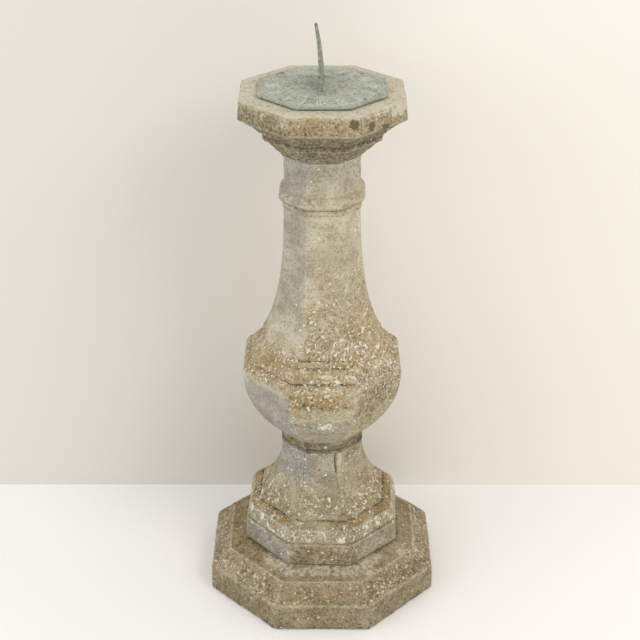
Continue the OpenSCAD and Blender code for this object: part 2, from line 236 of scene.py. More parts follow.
def shell(name: str, rows: Array, ends: Ends, skin: dict[Skin, Array] | None = None) -> Object:
    """A closed mesh from rows of points that run round it.

    Args:
        name: The name of the piece.
        rows: Points in metres, as rows by columns by three.
        ends: How the shell is closed.
        skin: Numbers for each point of the rows, to be kept as attributes.

    Returns:
        The new object, linked to the scene.
    """
    count, columns = rows.shape[:2]
    points = rows.reshape(-1, 3)
    index = np.arange(count * columns).reshape(count, columns)
    after = np.roll(index, -1, axis=1)
    lower, upper = (index[:-1], index[1:]), (after[:-1], after[1:])
    if ends is Ends.JOINED:
        lower, upper = (index, np.roll(index, -1, axis=0)), (after, np.roll(after, -1, axis=0))
    faces = np.stack([lower[0], upper[0], upper[1], lower[1]], axis=-1).reshape(-1, 4).tolist()
    if ends is Ends.POINTED:
        points = np.vstack([points, rows[0].mean(axis=0), rows[-1].mean(axis=0)])
        first, last = count * columns, count * columns + 1
        faces += [[first, b, a] for a, b in zip(index[0].tolist(), after[0].tolist())]
        faces += [[last, a, b] for a, b in zip(index[-1].tolist(), after[-1].tolist())]
    mesh = bpy.data.meshes.new(name)
    mesh.from_pydata(points.tolist(), [], faces)
    mesh.shade_smooth()
    for layer, values in (skin or {}).items():
        flat = values.reshape(-1)
        if ends is Ends.POINTED:
            flat = np.concatenate([flat, [values[0].mean(), values[-1].mean()]])
        attribute = mesh.attributes.new(layer.value, "FLOAT", "POINT")
        attribute.data.foreach_set("value", flat.astype(np.float32))
    mesh.validate()
    return link(name, mesh)


def settled(piece: Object, name: str) -> Object:
    """Turns a piece with live modifiers into a plain mesh and removes the modifiers.

    Args:
        piece: The object whose modifiers are to be made permanent.
        name: The name of the finished piece.

    Returns:
        A new plain object; the old one is removed.
    """
    graph = bpy.context.evaluated_depsgraph_get()
    mesh = bpy.data.meshes.new_from_object(piece.evaluated_get(graph), depsgraph=graph)
    old = piece.data
    bpy.data.objects.remove(piece)
    bpy.data.meshes.remove(old)
    mesh.name = name
    return link(name, mesh)


def surface_normals(rows: Array, joined: bool) -> Array:
    """Outward directions of a surface given as rows of points.

    Args:
        rows: Points as rows by columns by three.
        joined: Whether the last row meets the first.

    Returns:
        One unit vector for each point.
    """
    across = np.roll(rows, -1, axis=1) - np.roll(rows, 1, axis=1)
    along = np.roll(rows, -1, axis=0) - np.roll(rows, 1, axis=0) if joined else np.gradient(rows, axis=0)
    normal = np.cross(across, along)
    return normal / np.maximum(np.linalg.norm(normal, axis=-1, keepdims=True), 1e-12)


def put_on(piece: Object, body: str, node: str, finish: "Finish | None" = None) -> Object:
    """Dresses a piece, puts it on its body in place of its CAD node and reports it.

    Args:
        piece: The piece.
        body: The moving body it rides on.
        node: The CAD node it replaces.
        finish: Its finish, where it has none yet.

    Returns:
        The same piece.
    """
    if finish:
        piece.data.materials.append(finish.material())
    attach(piece, body)
    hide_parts(node)
    LOG.info("%s: %d points, rides on %s", piece.name, len(piece.data.vertices), body)
    return piece


def inside_box(points: Array, node: str) -> Array:
    """The points, kept inside a CAD node's own box."""
    low, high = (np.array(corner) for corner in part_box(node))
    return np.clip(points, low, high)


# ---------------------------------------------------------------- octagonal stones


@dataclass(frozen=True)
class Patch:
    """A place on a stone that one skin covers, in millimetres and degrees from the front."""

    skin: Skin
    turn: float
    out: float
    up: float
    across: float
    tall: float
    strength: float = 1.0
    sink: float = 0.0

    def closeness(self, points: Array) -> Array:
        """1 at the middle of the patch, a half at its edge and 0 at twice its reach.

        Args:
            points: Points in metres.

        Returns:
            One number for each point.
        """
        angle = FRONT + math.radians(self.turn)
        outward = np.array([math.cos(angle), math.sin(angle), 0])
        sideways = np.array([-math.sin(angle), math.cos(angle), 0])
        offset = points - (outward * self.out + np.array([0, 0, self.up])) * MM
        depth = max(self.across, self.tall) * 1.4
        reach = np.sqrt(
            (offset @ sideways / (self.across * MM)) ** 2
            + (offset[..., 2] / (self.tall * MM)) ** 2
            + (offset @ outward / (depth * MM)) ** 2
        )
        return np.clip(1 - reach / 2, 0, 1)


@dataclass(frozen=True)
class Weather:
    """How the open air has worn one stone, in millimetres."""

    soften: float = 1.2
    arris: float = 3.5
    sway: float = 0.5
    sway_size: float = 70.0
    rough: float = 0.3
    rough_size: float = 10.0
    grit: float = 0.12
    grit_size: float = 3.2
    chips: float = 1.5
    chip_size: float = 22.0
    pit_depth: float = 0.8
    pit_size: float = 9.0
    pit_share: float = 0.12


@dataclass(frozen=True)
class Facts:
    """What is known of each point of a stone before it is worn."""

    points: Array  # in metres
    turn: Array  # degrees from the front
    height: Array  # millimetres above the ground
    out: Array  # millimetres from the axis
    corner: Array  # how close to an upright arris, from 0 to 1
    edge: Array  # how sharply the outline bends outward, from 0 to 1
    hollow: Array  # how sharply it bends inward, from 0 to 1


def cad_corners(node: str) -> tuple[Array, Array]:
    """The corner points of a CAD node and how far each is from the axis, in metres."""
    corners = np.array([v.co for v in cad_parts[node].data.vertices])
    return corners, np.hypot(corners[:, 0], corners[:, 1])


def outline_of(node: str) -> list[Place]:
    """The outline of an octagonal CAD stone.

    Args:
        node: The CAD node's name.

    Returns:
        Height and half width of each ring of corners, from the bottom up, in metres.
    """
    corners, reach = cad_corners(node)
    corners, reach = corners[reach > SOCKET_REACH], reach[reach > SOCKET_REACH]
    rings: list[Place] = []
    for height in np.unique(np.round(corners[:, 2], 5)):
        level = np.abs(corners[:, 2] - height) < RING_TOLERANCE
        widest = reach[level].max()
        outer = corners[level][reach[level] > widest - WIDTH_TOLERANCE]
        turns = np.degrees(np.arctan2(outer[:, 1], outer[:, 0])) % 360
        angles = np.unique(np.round((turns + 1) / 5).astype(int) % 72)
        if len(angles) == SIDES and (not rings or height - rings[-1][0] > RING_GAP):
            rings.append((float(height), float(widest * math.cos(HALF_SIDE_ANGLE))))
    return rings


def turn_of(node: str) -> float:
    """How far an octagonal CAD stone stands turned from square.

    Args:
        node: The CAD node's name.

    Returns:
        The turn in radians.
    """
    corners, reach = cad_corners(node)
    x, y = corners[int(reach.argmax())][:2]
    side = 2 * HALF_SIDE_ANGLE
    return (math.atan2(y, x) - HALF_SIDE_ANGLE + side / 2) % side - side / 2


def octagons(height: float, *distances: float) -> Path:
    """Eight-sided rows at one height in metres, at distances from the axis in millimetres."""
    return [(out * MM, height, 0.0) for out in distances]


def circles(height: float, *distances: float) -> Path:
    """Round rows at one height in metres, at distances from the axis in millimetres."""
    return [(out * MM, height, 1.0) for out in distances]


@dataclass
class OctagonalPiece:
    """An octagon whose width follows the CAD stone's outline, then worn and stained."""

    node: str
    body: str
    slot: str
    finish: "Finish"
    weather: Weather
    patches: tuple[Patch, ...] = ()
    columns: int = 32  # points along one side
    pitch: float = 1.8  # millimetres between rows
    seed: int = 1
    ends: Ends = Ends.POINTED

    def inner_start(self) -> Path:
        """The hidden path before the outline."""
        return octagons(self.bottom, AXIS) if self.ends is Ends.POINTED else []

    def inner_end(self) -> Path:
        """The hidden path after the outline."""
        return octagons(self.top, AXIS)

    def arris_at(self, height: Array) -> Array:
        """How round the upright arrises are at each height in metres, in millimetres."""
        return np.full_like(height, self.weather.arris)

    def shape(self, at: Facts) -> Array:
        """How far this stone's own damage moves each point outward, in millimetres."""
        return np.zeros(at.points.shape[:-1])

    def paint(self, at: Facts) -> dict[Skin, Array]:
        """The stains and growth of this stone beside its patches.

        Args:
            at: What is known of each point.

        Returns:
            Numbers for each skin; those for wear and painted crease shade are shares of what the shape gives.
        """
        return {}

    def build(self) -> Object:
        """Makes the stone, dresses it and puts it on its body.

        Returns:
            The finished piece.
        """
        rings = outline_of(self.node)
        self.bottom, (self.top, self.top_half) = rings[0][0], rings[-1]
        path, open_air = self._walk(rings)
        at = self._surface(path)
        piece = shell(self.node + "_worn", self._weathered(at, open_air), self.ends, self._skin(at))
        return put_on(piece, self.body, self.node, self.finish)

    def _walk(self, rings: list[Place]) -> tuple[Array, Array]:
        """Samples the whole path closely and evenly, and softens its corners.

        Args:
            rings: Height and half width of each ring of the outline.

        Returns:
            Distance from the axis, height and roundness of each row, and how open to the air it is.
        """
        before, after = self.inner_start(), self.inner_end()
        corners = [*before, *((half, height, 0.0) for height, half in rings), *after]
        last_ring = len(before) + len(rings) - 1
        if self.ends is Ends.JOINED:
            corners.append(corners[0])
        samples: list[tuple[float, float, float, float]] = []
        for number, (a, b) in enumerate(zip(corners, corners[1:])):
            hidden = number < len(before) - 1 or number > last_ring
            shown = float(len(before) <= number < last_ring)
            stride = self.pitch * MM * (HIDDEN_STRIDE if hidden else 1)
            steps = max(1, round(math.dist(a[:2], b[:2]) / stride))
            for k in range(steps):
                samples.append((*(np.array(a) + (np.array(b) - np.array(a)) * k / steps), shown))
        if self.ends is Ends.POINTED:
            samples.append((*corners[-1], 0.0))
        path = np.array(samples)
        first, last = np.flatnonzero((path[:, 2] == 0) & (path[:, 0] > SOCKET_REACH))[[0, -1]]
        sigma = self.weather.soften / self.pitch
        reach = max(1, math.ceil(3 * sigma))
        weights = np.exp(-0.5 * (np.arange(-reach, reach + 1) / sigma) ** 2)
        for column in (0, 1):
            part = path[first : last + 1, column]
            padded = np.concatenate([np.full(reach, part[0]), part, np.full(reach, part[-1])])
            path[first : last + 1, column] = np.convolve(padded, weights / weights.sum(), "valid")
        return path[:, :3], np.convolve(path[:, 3], np.ones(5) / 5, "same")

    def _surface(self, path: Array) -> Facts:
        """Runs the path round the octagon and measures every point.

        Args:
            path: Distance from the axis, height and roundness of each row.

        Returns:
            What is known of each point.
        """
        out, height, roundness = (path[:, k, None] for k in range(3))
        side = np.repeat(np.arange(SIDES), self.columns)[None, :]
        even = np.arange(self.columns) / self.columns * 2 - 1
        place = np.tile(even + CROWDING * np.sin(math.pi * even) / math.pi, SIDES)[None, :]
        half = out * math.tan(HALF_SIDE_ANGLE)
        bend = np.minimum(self.arris_at(height) * MM, out * 0.8)
        start = half - bend * math.tan(HALF_SIDE_ANGLE)
        over = np.clip((np.abs(place) * half - start) / np.maximum(half - start, 1e-9), 0, 1)
        curl = over * HALF_SIDE_ANGLE
        along = np.sign(place) * (np.minimum(np.abs(place) * half, start) + bend * np.sin(curl) * (over > 0))
        apothem = out - bend * (1 - np.cos(curl))
        facing = FRONT + side * 2 * HALF_SIDE_ANGLE + turn_of(self.node)
        cos, sin = np.cos(facing), np.sin(facing)
        flat = np.stack([cos * apothem - sin * along, sin * apothem + cos * along], axis=-1)
        angle = facing + place * HALF_SIDE_ANGLE
        circle = np.stack([np.cos(angle) * out, np.sin(angle) * out], axis=-1)
        share = roundness[..., None]
        ground = flat * (1 - share) + circle * share
        rows = np.concatenate([ground, np.broadcast_to(height[..., None], (*ground.shape[:2], 1))], axis=-1)
        near = np.clip(1 - (half - np.abs(place) * half) / (CORNER_REACH * MM), 0, 1) * (roundness == 0)
        step = np.gradient(path[:, :2], axis=0)
        length = np.maximum(np.linalg.norm(step, axis=1), 1e-9)
        turning = np.gradient(np.unwrap(np.arctan2(step[:, 1], step[:, 0]))) / (length / MM)
        turning = np.convolve(turning, np.ones(3) / 3, "same")[:, None] * self.weather.soften
        angle = np.arctan2(rows[..., 1], rows[..., 0]) - FRONT
        return Facts(
            points=rows,
            turn=np.degrees((angle + math.pi) % (2 * math.pi) - math.pi),
            height=rows[..., 2] / MM,
            out=np.hypot(rows[..., 0], rows[..., 1]) / MM,
            corner=near**1.5,
            edge=0.72 * ramp(turning, *EDGE_TURNS) * np.ones_like(near),
            hollow=ramp(-turning, *CREASE_SHADE_TURNS) * np.ones_like(near),
        )

    def _weathered(self, at: Facts, open_air: Array) -> Array:
        """Moves the points in and out as the weather and use have.

        Args:
            at: What is known of each point.
            open_air: How open to the air each row is.

        Returns:
            The moved points, kept inside the CAD stone's own box.
        """
        w, grain, points = self.weather, Grain(self.seed), at.points
        move = w.sway * (grain.smooth(points, w.sway_size * MM) - 0.3)
        move += w.rough * grain.rough(points, w.rough_size * MM, 3)
        move += w.grit * grain.smooth(points, w.grit_size * MM)
        move -= w.pit_depth * grain.pits(points, w.pit_size * MM, w.pit_share)
        broken = ramp(Grain(self.seed + 1).rough(points, w.chip_size * MM, 3), 0.12, 0.6)
        move -= w.chips * np.maximum(at.edge, at.corner) * (0.25 + 1.6 * broken)
        move += self.shape(at)
        for patch in self.patches:
            if patch.sink:
                move -= patch.sink * ramp(patch.closeness(points), *SINK_RIM)
        normal = surface_normals(points, self.ends is Ends.JOINED)
        return inside_box(points + normal * (move * open_air[:, None])[..., None] * MM, self.node)

    def _skin(self, at: Facts) -> dict[Skin, Array]:
        """Every skin of the stone.

        Args:
            at: What is known of each point.

        Returns:
            One set of numbers for each skin.
        """
        skin = {layer: np.zeros(at.turn.shape) for layer in Skin}
        skin[Skin.WEAR] = np.maximum(at.edge, 0.5 * at.corner)
        skin[Skin.CREASE_SHADE] = at.hollow
        for layer, values in self.paint(at).items():
            scaled = layer in (Skin.WEAR, Skin.CREASE_SHADE)
            skin[layer] = skin[layer] * values if scaled else np.maximum(skin[layer], values)
        for patch in self.patches:
            found = patch.closeness(at.points) * patch.strength
            if patch.skin not in (Skin.SPOT, Skin.SCAR):
                found = ramp(found, 0, 1)
            skin[patch.skin] = np.maximum(skin[patch.skin], found)
        return {layer: np.clip(values, 0, 1) for layer, values in skin.items()}


# ---------------------------------------------------------------- node trees


class Graph:
    """A node tree being wired, with short names for the common nodes."""

    def __init__(self, tree: bpy.types.NodeTree) -> None:
        """Keeps the tree."""
        self.tree = tree

    def add(self, kind: str, inputs: dict[str | int, Value] | None = None, **settings: object) -> Node:
        """Adds one node.

        Args:
            kind: The node's type name.
            inputs: Values or sockets for its inputs, by name or number.
            **settings: The node's own settings.

        Returns:
            The new node.
        """
        node = self.tree.nodes.new(kind)
        for key, value in settings.items():
            setattr(node, key, value)
        for key, value in (inputs or {}).items():
            self.feed(node.inputs[key], value)
        return node

    def feed(self, socket: Socket, value: Value) -> None:
        """Links a socket or sets its value.

        Args:
            socket: The input to feed.
            value: A socket to link, or a plain value.
        """
        if isinstance(value, Socket):
            self.tree.links.new(value, socket)
        else:
            socket.default_value = value

    def out(self, kind: str, inputs: dict[str | int, Value] | None = None, **settings: object) -> Socket:
        """Adds one node and gives its first output."""
        return self.add(kind, inputs, **settings).outputs[0]

    def math(self, operation: str, *values: Value, clamp: bool = False) -> Socket:
        """One sum on numbers, kept from 0 to 1 if it is clamped."""
        return self.out("ShaderNodeMath", dict(enumerate(values)), operation=operation, use_clamp=clamp)

    def times(self, first: Value, second: Value) -> Socket:
        """The product of two numbers."""
        return self.math("MULTIPLY", first, second)

    def minus(self, first: Value, second: Value) -> Socket:
        """The first number less the second."""
        return self.math("SUBTRACT", first, second)

    def vector(self, operation: str, inputs: dict[str | int, Value]) -> Socket:
        """One sum on places."""
        return self.out("ShaderNodeVectorMath", inputs, operation=operation)

    def blend(self, share: Value, first: Value, second: Value, mode: str = "MIX") -> Socket:
        """Mixes a share of the second colour into the first."""
        node = self.add("ShaderNodeMix", {0: share, 6: first, 7: second}, data_type="RGBA", blend_type=mode)
        return node.outputs[2]

    def noise(
        self, place: Value, size: Value, detail: float = 3.0, rough: float = 0.5, twist: float = 0.0
    ) -> Socket:
        """Cloudy noise from 0 to 1.

        Args:
            place: Where on the piece.
            size: The size of a cloud in millimetres, or a socket that says how many there are in a metre.
            detail: How many finer layers it has.
            rough: How strong they are.
            twist: How far it is swirled.

        Returns:
            The noise's socket.
        """
        scale = size if isinstance(size, Socket) else 1000 / size
        inputs = {"Vector": place, "Scale": scale, "Detail": detail, "Roughness": rough, "Distortion": twist}
        return self.out("ShaderNodeTexNoise", inputs)

    def scatter(self, place: Value, spacing: Value, share: Value) -> tuple[Socket, Socket, Socket]:
        """Cells scattered over the piece, some of which are taken.

        Args:
            place: Where on the piece.
            spacing: How far apart the cells are, in millimetres.
            share: How many of them are taken, from 0 to 1.

        Returns:
            How far it is to the cell's middle, a chance number of the cell and 1 where the cell is taken.
        """
        scale = self.math("DIVIDE", 1000.0, spacing)
        cells = self.add("ShaderNodeTexVoronoi", {"Vector": place, "Scale": scale})
        chance = self.add("ShaderNodeSeparateColor", {0: cells.outputs["Color"]})
        taken = self.math("LESS_THAN", chance.outputs[0], share)
        return cells.outputs["Distance"], chance.outputs[1], taken

    def step(self, value: Value, low: Value, high: Value, below: Value = 0.0, above: Value = 1.0) -> Socket:
        """A soft step between two levels, and what it gives below and above them."""
        inputs = {0: value, 1: low, 2: high, 3: below, 4: above}
        return self.out("ShaderNodeMapRange", inputs, interpolation_type="SMOOTHSTEP")

    def skin(self, layer: Skin) -> Socket:
        """Reads one painted skin."""
        node = self.add("ShaderNodeAttribute", attribute_name=layer.value, attribute_type="GEOMETRY")
        return node.outputs["Fac"]


def socket_kind(value: Value | None) -> str:
    """The type of socket that a value needs; a place has no value of its own."""
    kinds = ((tuple, "Color"), (float, "Float"), (Object, "Object"), (bpy.types.Material, "Material"))
    return "NodeSocket" + next((kind for sort, kind in kinds if isinstance(value, sort)), "Vector")


class Effect:
    """A surface effect that several materials share, built once as a node group."""

    name: str = ""
    takes: dict[str, Value | None] = {}
    gives: tuple[str, ...] = ("Mask",)
    _built: dict[str, bpy.types.NodeTree] = {}

    def wire(self, graph: Graph, given: Given) -> tuple[Socket, ...]:
        """Wires the effect's nodes.

        Args:
            graph: The group's tree.
            given: The group's inputs by name.

        Returns:
            One socket for each thing that the effect gives.
        """
        raise NotImplementedError

    def tree(self) -> bpy.types.NodeTree:
        """The group's tree, built the first time it is asked for.

        Returns:
            The tree.
        """
        if self.name in self._built:
            return self._built[self.name]
        tree = bpy.data.node_groups.new(self.name, "ShaderNodeTree")
        for name, value in self.takes.items():
            socket = tree.interface.new_socket(name=name, in_out="INPUT", socket_type=socket_kind(value))
            if value is not None:
                socket.default_value = value
        for name in self.gives:
            kind = "NodeSocketColor" if name == "Colour" else "NodeSocketFloat"
            tree.interface.new_socket(name=name, in_out="OUTPUT", socket_type=kind)
        graph = Graph(tree)
        found = self.wire(graph, dict(graph.add("NodeGroupInput").outputs.items()))
        graph.add("NodeGroupOutput", dict(zip(self.gives, found)))
        self._built[self.name] = tree
        return tree

    def use(self, graph: Graph, **inputs: Value) -> Node:
        """Puts the group in a material; its inputs are named in lower case."""
        titled = {key.title(): value for key, value in inputs.items()}
        return graph.add("ShaderNodeGroup", titled, node_tree=self.tree())


class StoneBody(Effect):
    """The mottled body of cast stone: clouds, sand grains and dark specks of aggregate."""

    name = "stone_body"
    takes = {
        "Place": None,
        "Pale": (0.7, 0.7, 0.7, 1),
        "Middle": (0.5, 0.5, 0.5, 1),
        "Dark": (0.3, 0.3, 0.3, 1),
        "Contrast": 1.0,
    }
    gives = ("Colour", "Height")

    def wire(self, graph: Graph, given: Given) -> tuple[Socket, ...]:
        """Wires clouds, sand and aggregate.

        Args:
            graph: The group's tree.
            given: The group's inputs by name.

        Returns:
            The colour and the height.
        """
        place, pale, dark = given["Place"], given["Pale"], given["Dark"]
        clouds = graph.noise(place, 38, 5, 0.6, 0.5)
        blotches = graph.noise(place, 8, 4, 0.7)
        sand = graph.noise(place, 3.6, 3, 0.75)
        grit = graph.noise(place, 1.8, 1, 0.5)
        colour = graph.blend(graph.step(clouds, 0.38, 0.64), given["Middle"], pale)
        for layer, low, high, strength, tint in (
            (blotches, 0.5, 0.68, 0.55, dark),
            (blotches, 0.46, 0.32, 0.4, pale),
            (sand, 0.52, 0.64, 0.9, dark),
            (sand, 0.47, 0.36, 0.85, pale),
            (grit, 0.58, 0.74, 0.6, dark),
        ):
            mask = graph.step(layer, low, high, 0.0, strength)
            share = graph.math("MULTIPLY", mask, given["Contrast"], clamp=True)
            colour = graph.blend(share, colour, tint)
        height = graph.math("ADD", graph.times(sand, 0.5), graph.times(blotches, 0.5))
        return colour, height


class RaggedStain(Effect):
    """A stain with a ragged edge that grows with the amount painted on the stone."""

    name = "ragged_stain"
    takes = {"Place": None, "Amount": 0.0, "Size": 20.0, "Raggedness": 1.0, "Softness": 0.12}

    def wire(self, graph: Graph, given: Given) -> tuple[Socket, ...]:
        """Wires the stain.

        Args:
            graph: The group's tree.
            given: The group's inputs by name.

        Returns:
            The mask.
        """
        amount, softness = given["Amount"], given["Softness"]
        noise = graph.noise(given["Place"], graph.math("DIVIDE", 1000.0, given["Size"]), 5.0, 0.62)
        swing = graph.times(graph.minus(noise, 0.5), given["Raggedness"])
        low, high = graph.minus(0.5, softness), graph.math("ADD", 0.5, softness)
        stain = graph.step(graph.math("ADD", amount, swing), low, high)
        return (graph.times(stain, graph.step(amount, 0.0, 0.06)),)


class LichenSpecks(Effect):
    """Scattered crusts of lichen: some cells of a scatter hold a small ragged crust."""

    name = "lichen_specks"
    takes = {"Place": None, "Density": 0.3, "Spacing": 5.0, "Reach": 0.45}

    def wire(self, graph: Graph, given: Given) -> tuple[Socket, ...]:
        """Wires the scatter of crusts.

        Args:
            graph: The group's tree.
            given: The group's inputs by name.

        Returns:
            The mask.
        """
        place = given["Place"]
        wobble = graph.add("ShaderNodeTexNoise", {"Vector": place, "Scale": 420.0, "Detail": 2.0})
        lean = graph.vector("SUBTRACT", {0: wobble.outputs["Color"], 1: (0.5, 0.5, 0.5)})
        ragged = graph.vector("ADD", {0: place, 1: graph.vector("SCALE", {0: lean, "Scale": 0.0035})})
        away, chance, there = graph.scatter(ragged, given["Spacing"], given["Density"])
        radius = graph.times(given["Reach"], graph.math("MULTIPLY_ADD", chance, 0.6, 0.4))
        crust = graph.step(graph.minus(radius, away), -0.03, 0.09)
        return (graph.times(crust, there),)


class RaggedCrust(Effect):
    """Ragged crusts of lichen that gather into clusters and run together where they grow thick."""

    name = "ragged_crust"
    takes = {"Place": None, "Amount": 0.3, "Size": 5.0}

    def wire(self, graph: Graph, given: Given) -> tuple[Socket, ...]:
        """Wires the crusts.

        Args:
            graph: The group's tree.
            given: The group's inputs by name.

        Returns:
            The mask.
        """
        scale = graph.math("DIVIDE", 1000.0, given["Size"])
        crumbs = graph.noise(given["Place"], scale, 3.0, 0.6, 0.35)
        clusters = graph.noise(given["Place"], graph.times(scale, 0.18), 2.0)
        level = graph.math("MULTIPLY_ADD", graph.minus(clusters, 0.5), 0.22, crumbs)
        least = graph.math("MULTIPLY_ADD", given["Amount"], -0.28, 0.71)
        return (graph.step(graph.minus(level, least), -0.012, 0.03),)


class FinePores(Effect):
    """Small open pores in the skin of the stone."""

    name = "fine_pores"
    takes = {"Place": None, "Spacing": 6.0, "Share": 0.3}

    def wire(self, graph: Graph, given: Given) -> tuple[Socket, ...]:
        """Wires the pores.

        Args:
            graph: The group's tree.
            given: The group's inputs by name.

        Returns:
            The mask.
        """
        away, chance, there = graph.scatter(given["Place"], given["Spacing"], given["Share"])
        radius = graph.math("MULTIPLY_ADD", chance, 0.16, 0.08)
        return (graph.times(graph.step(graph.minus(radius, away), 0.0, 0.08), there),)


class Verdigris(Effect):
    """The skin of old bronze outdoors: grey-green bloom, pale rubbed high places and dark hollows."""

    name = "verdigris"
    takes = {
        "Place": None,
        "Bloom": (0.5, 0.6, 0.5, 1),
        "Pale": (0.7, 0.75, 0.7, 1),
        "Dark": (0.2, 0.25, 0.2, 1),
        "Rubbed": 0.0,
    }
    gives = ("Colour", "Roughness", "Height")

    def wire(self, graph: Graph, given: Given) -> tuple[Socket, ...]:
        """Wires bloom, streaks and rubbed places.

        Args:
            graph: The group's tree.
            given: The group's inputs by name.

        Returns:
            The colour, the roughness and the height.
        """
        place, pale, dark = given["Place"], given["Pale"], given["Dark"]
        clouds = graph.noise(place, 26, 4, 0.6, 0.8)
        fine = graph.noise(place, 5, 3, 0.65)
        grit = graph.noise(place, 2.2, 2, 0.6)
        colour = graph.blend(graph.step(clouds, 0.46, 0.68, 0.0, 0.6), given["Bloom"], dark)
        colour = graph.blend(graph.step(fine, 0.49, 0.64, 0.0, 0.75), colour, pale)
        colour = graph.blend(graph.step(fine, 0.44, 0.33, 0.0, 0.6), colour, dark)
        colour = graph.blend(graph.step(grit, 0.52, 0.68, 0.0, 0.5), colour, dark)
        rubbed = graph.times(given["Rubbed"], graph.step(fine, 0.3, 0.6, 0.35, 1.0))
        colour = graph.blend(rubbed, colour, pale)
        height = graph.math("ADD", graph.times(fine, 0.6), graph.times(grit, 0.4))
        return colour, graph.step(clouds, 0.3, 0.7, 0.55, 0.8), height


STONE_BODY, RAGGED_STAIN, LICHEN_SPECKS = StoneBody(), RaggedStain(), LichenSpecks()
RAGGED_CRUST, FINE_PORES, VERDIGRIS = RaggedCrust(), FinePores(), Verdigris()


# ---------------------------------------------------------------- finishes


def colour(tint: Tint) -> tuple[float, float, float, float]:
    """A colour of a painter's card in linear light.

    Args:
        tint: Red, green and blue from 0 to 255.

    Returns:
        Red, green, blue and 1.
    """
    shares = [level / 255 for level in tint]
    linear = [share / 12.92 if share <= 0.04045 else ((share + 0.055) / 1.055) ** 2.4 for share in shares]
    return (*linear, 1.0)


class Canvas:
    """A material in the making: its graph, its shader and the place on the piece."""

    def __init__(self, name: str) -> None:
        """Makes the empty material.

        Args:
            name: The material's name.
        """
        self.material = bpy.data.materials.new(name)
        self.material.use_nodes = True
        self.graph = Graph(self.material.node_tree)
        self.shader = self.material.node_tree.nodes["Principled BSDF"]
        self.place = self.graph.add("ShaderNodeTexCoord").outputs["Object"]

    def feed(self, values: dict[str, Value]) -> None:
        """Links or sets the shader's own inputs by name."""
        for key, value in values.items():
            self.graph.feed(self.shader.inputs[key], value)

    def relief(self, height: Socket, strength: float, depth: float) -> Socket:
        """The shader's normal for a relief of some depth in millimetres."""
        inputs = {"Height": height, "Strength": strength, "Distance": depth * MM}
        return self.graph.out("ShaderNodeBump", inputs)


@dataclass(frozen=True)
class Finish:
    """The look of one surface. Colours are painter's card values."""

    name: str

    def material(self) -> bpy.types.Material:
        """Builds the material."""
        raise NotImplementedError


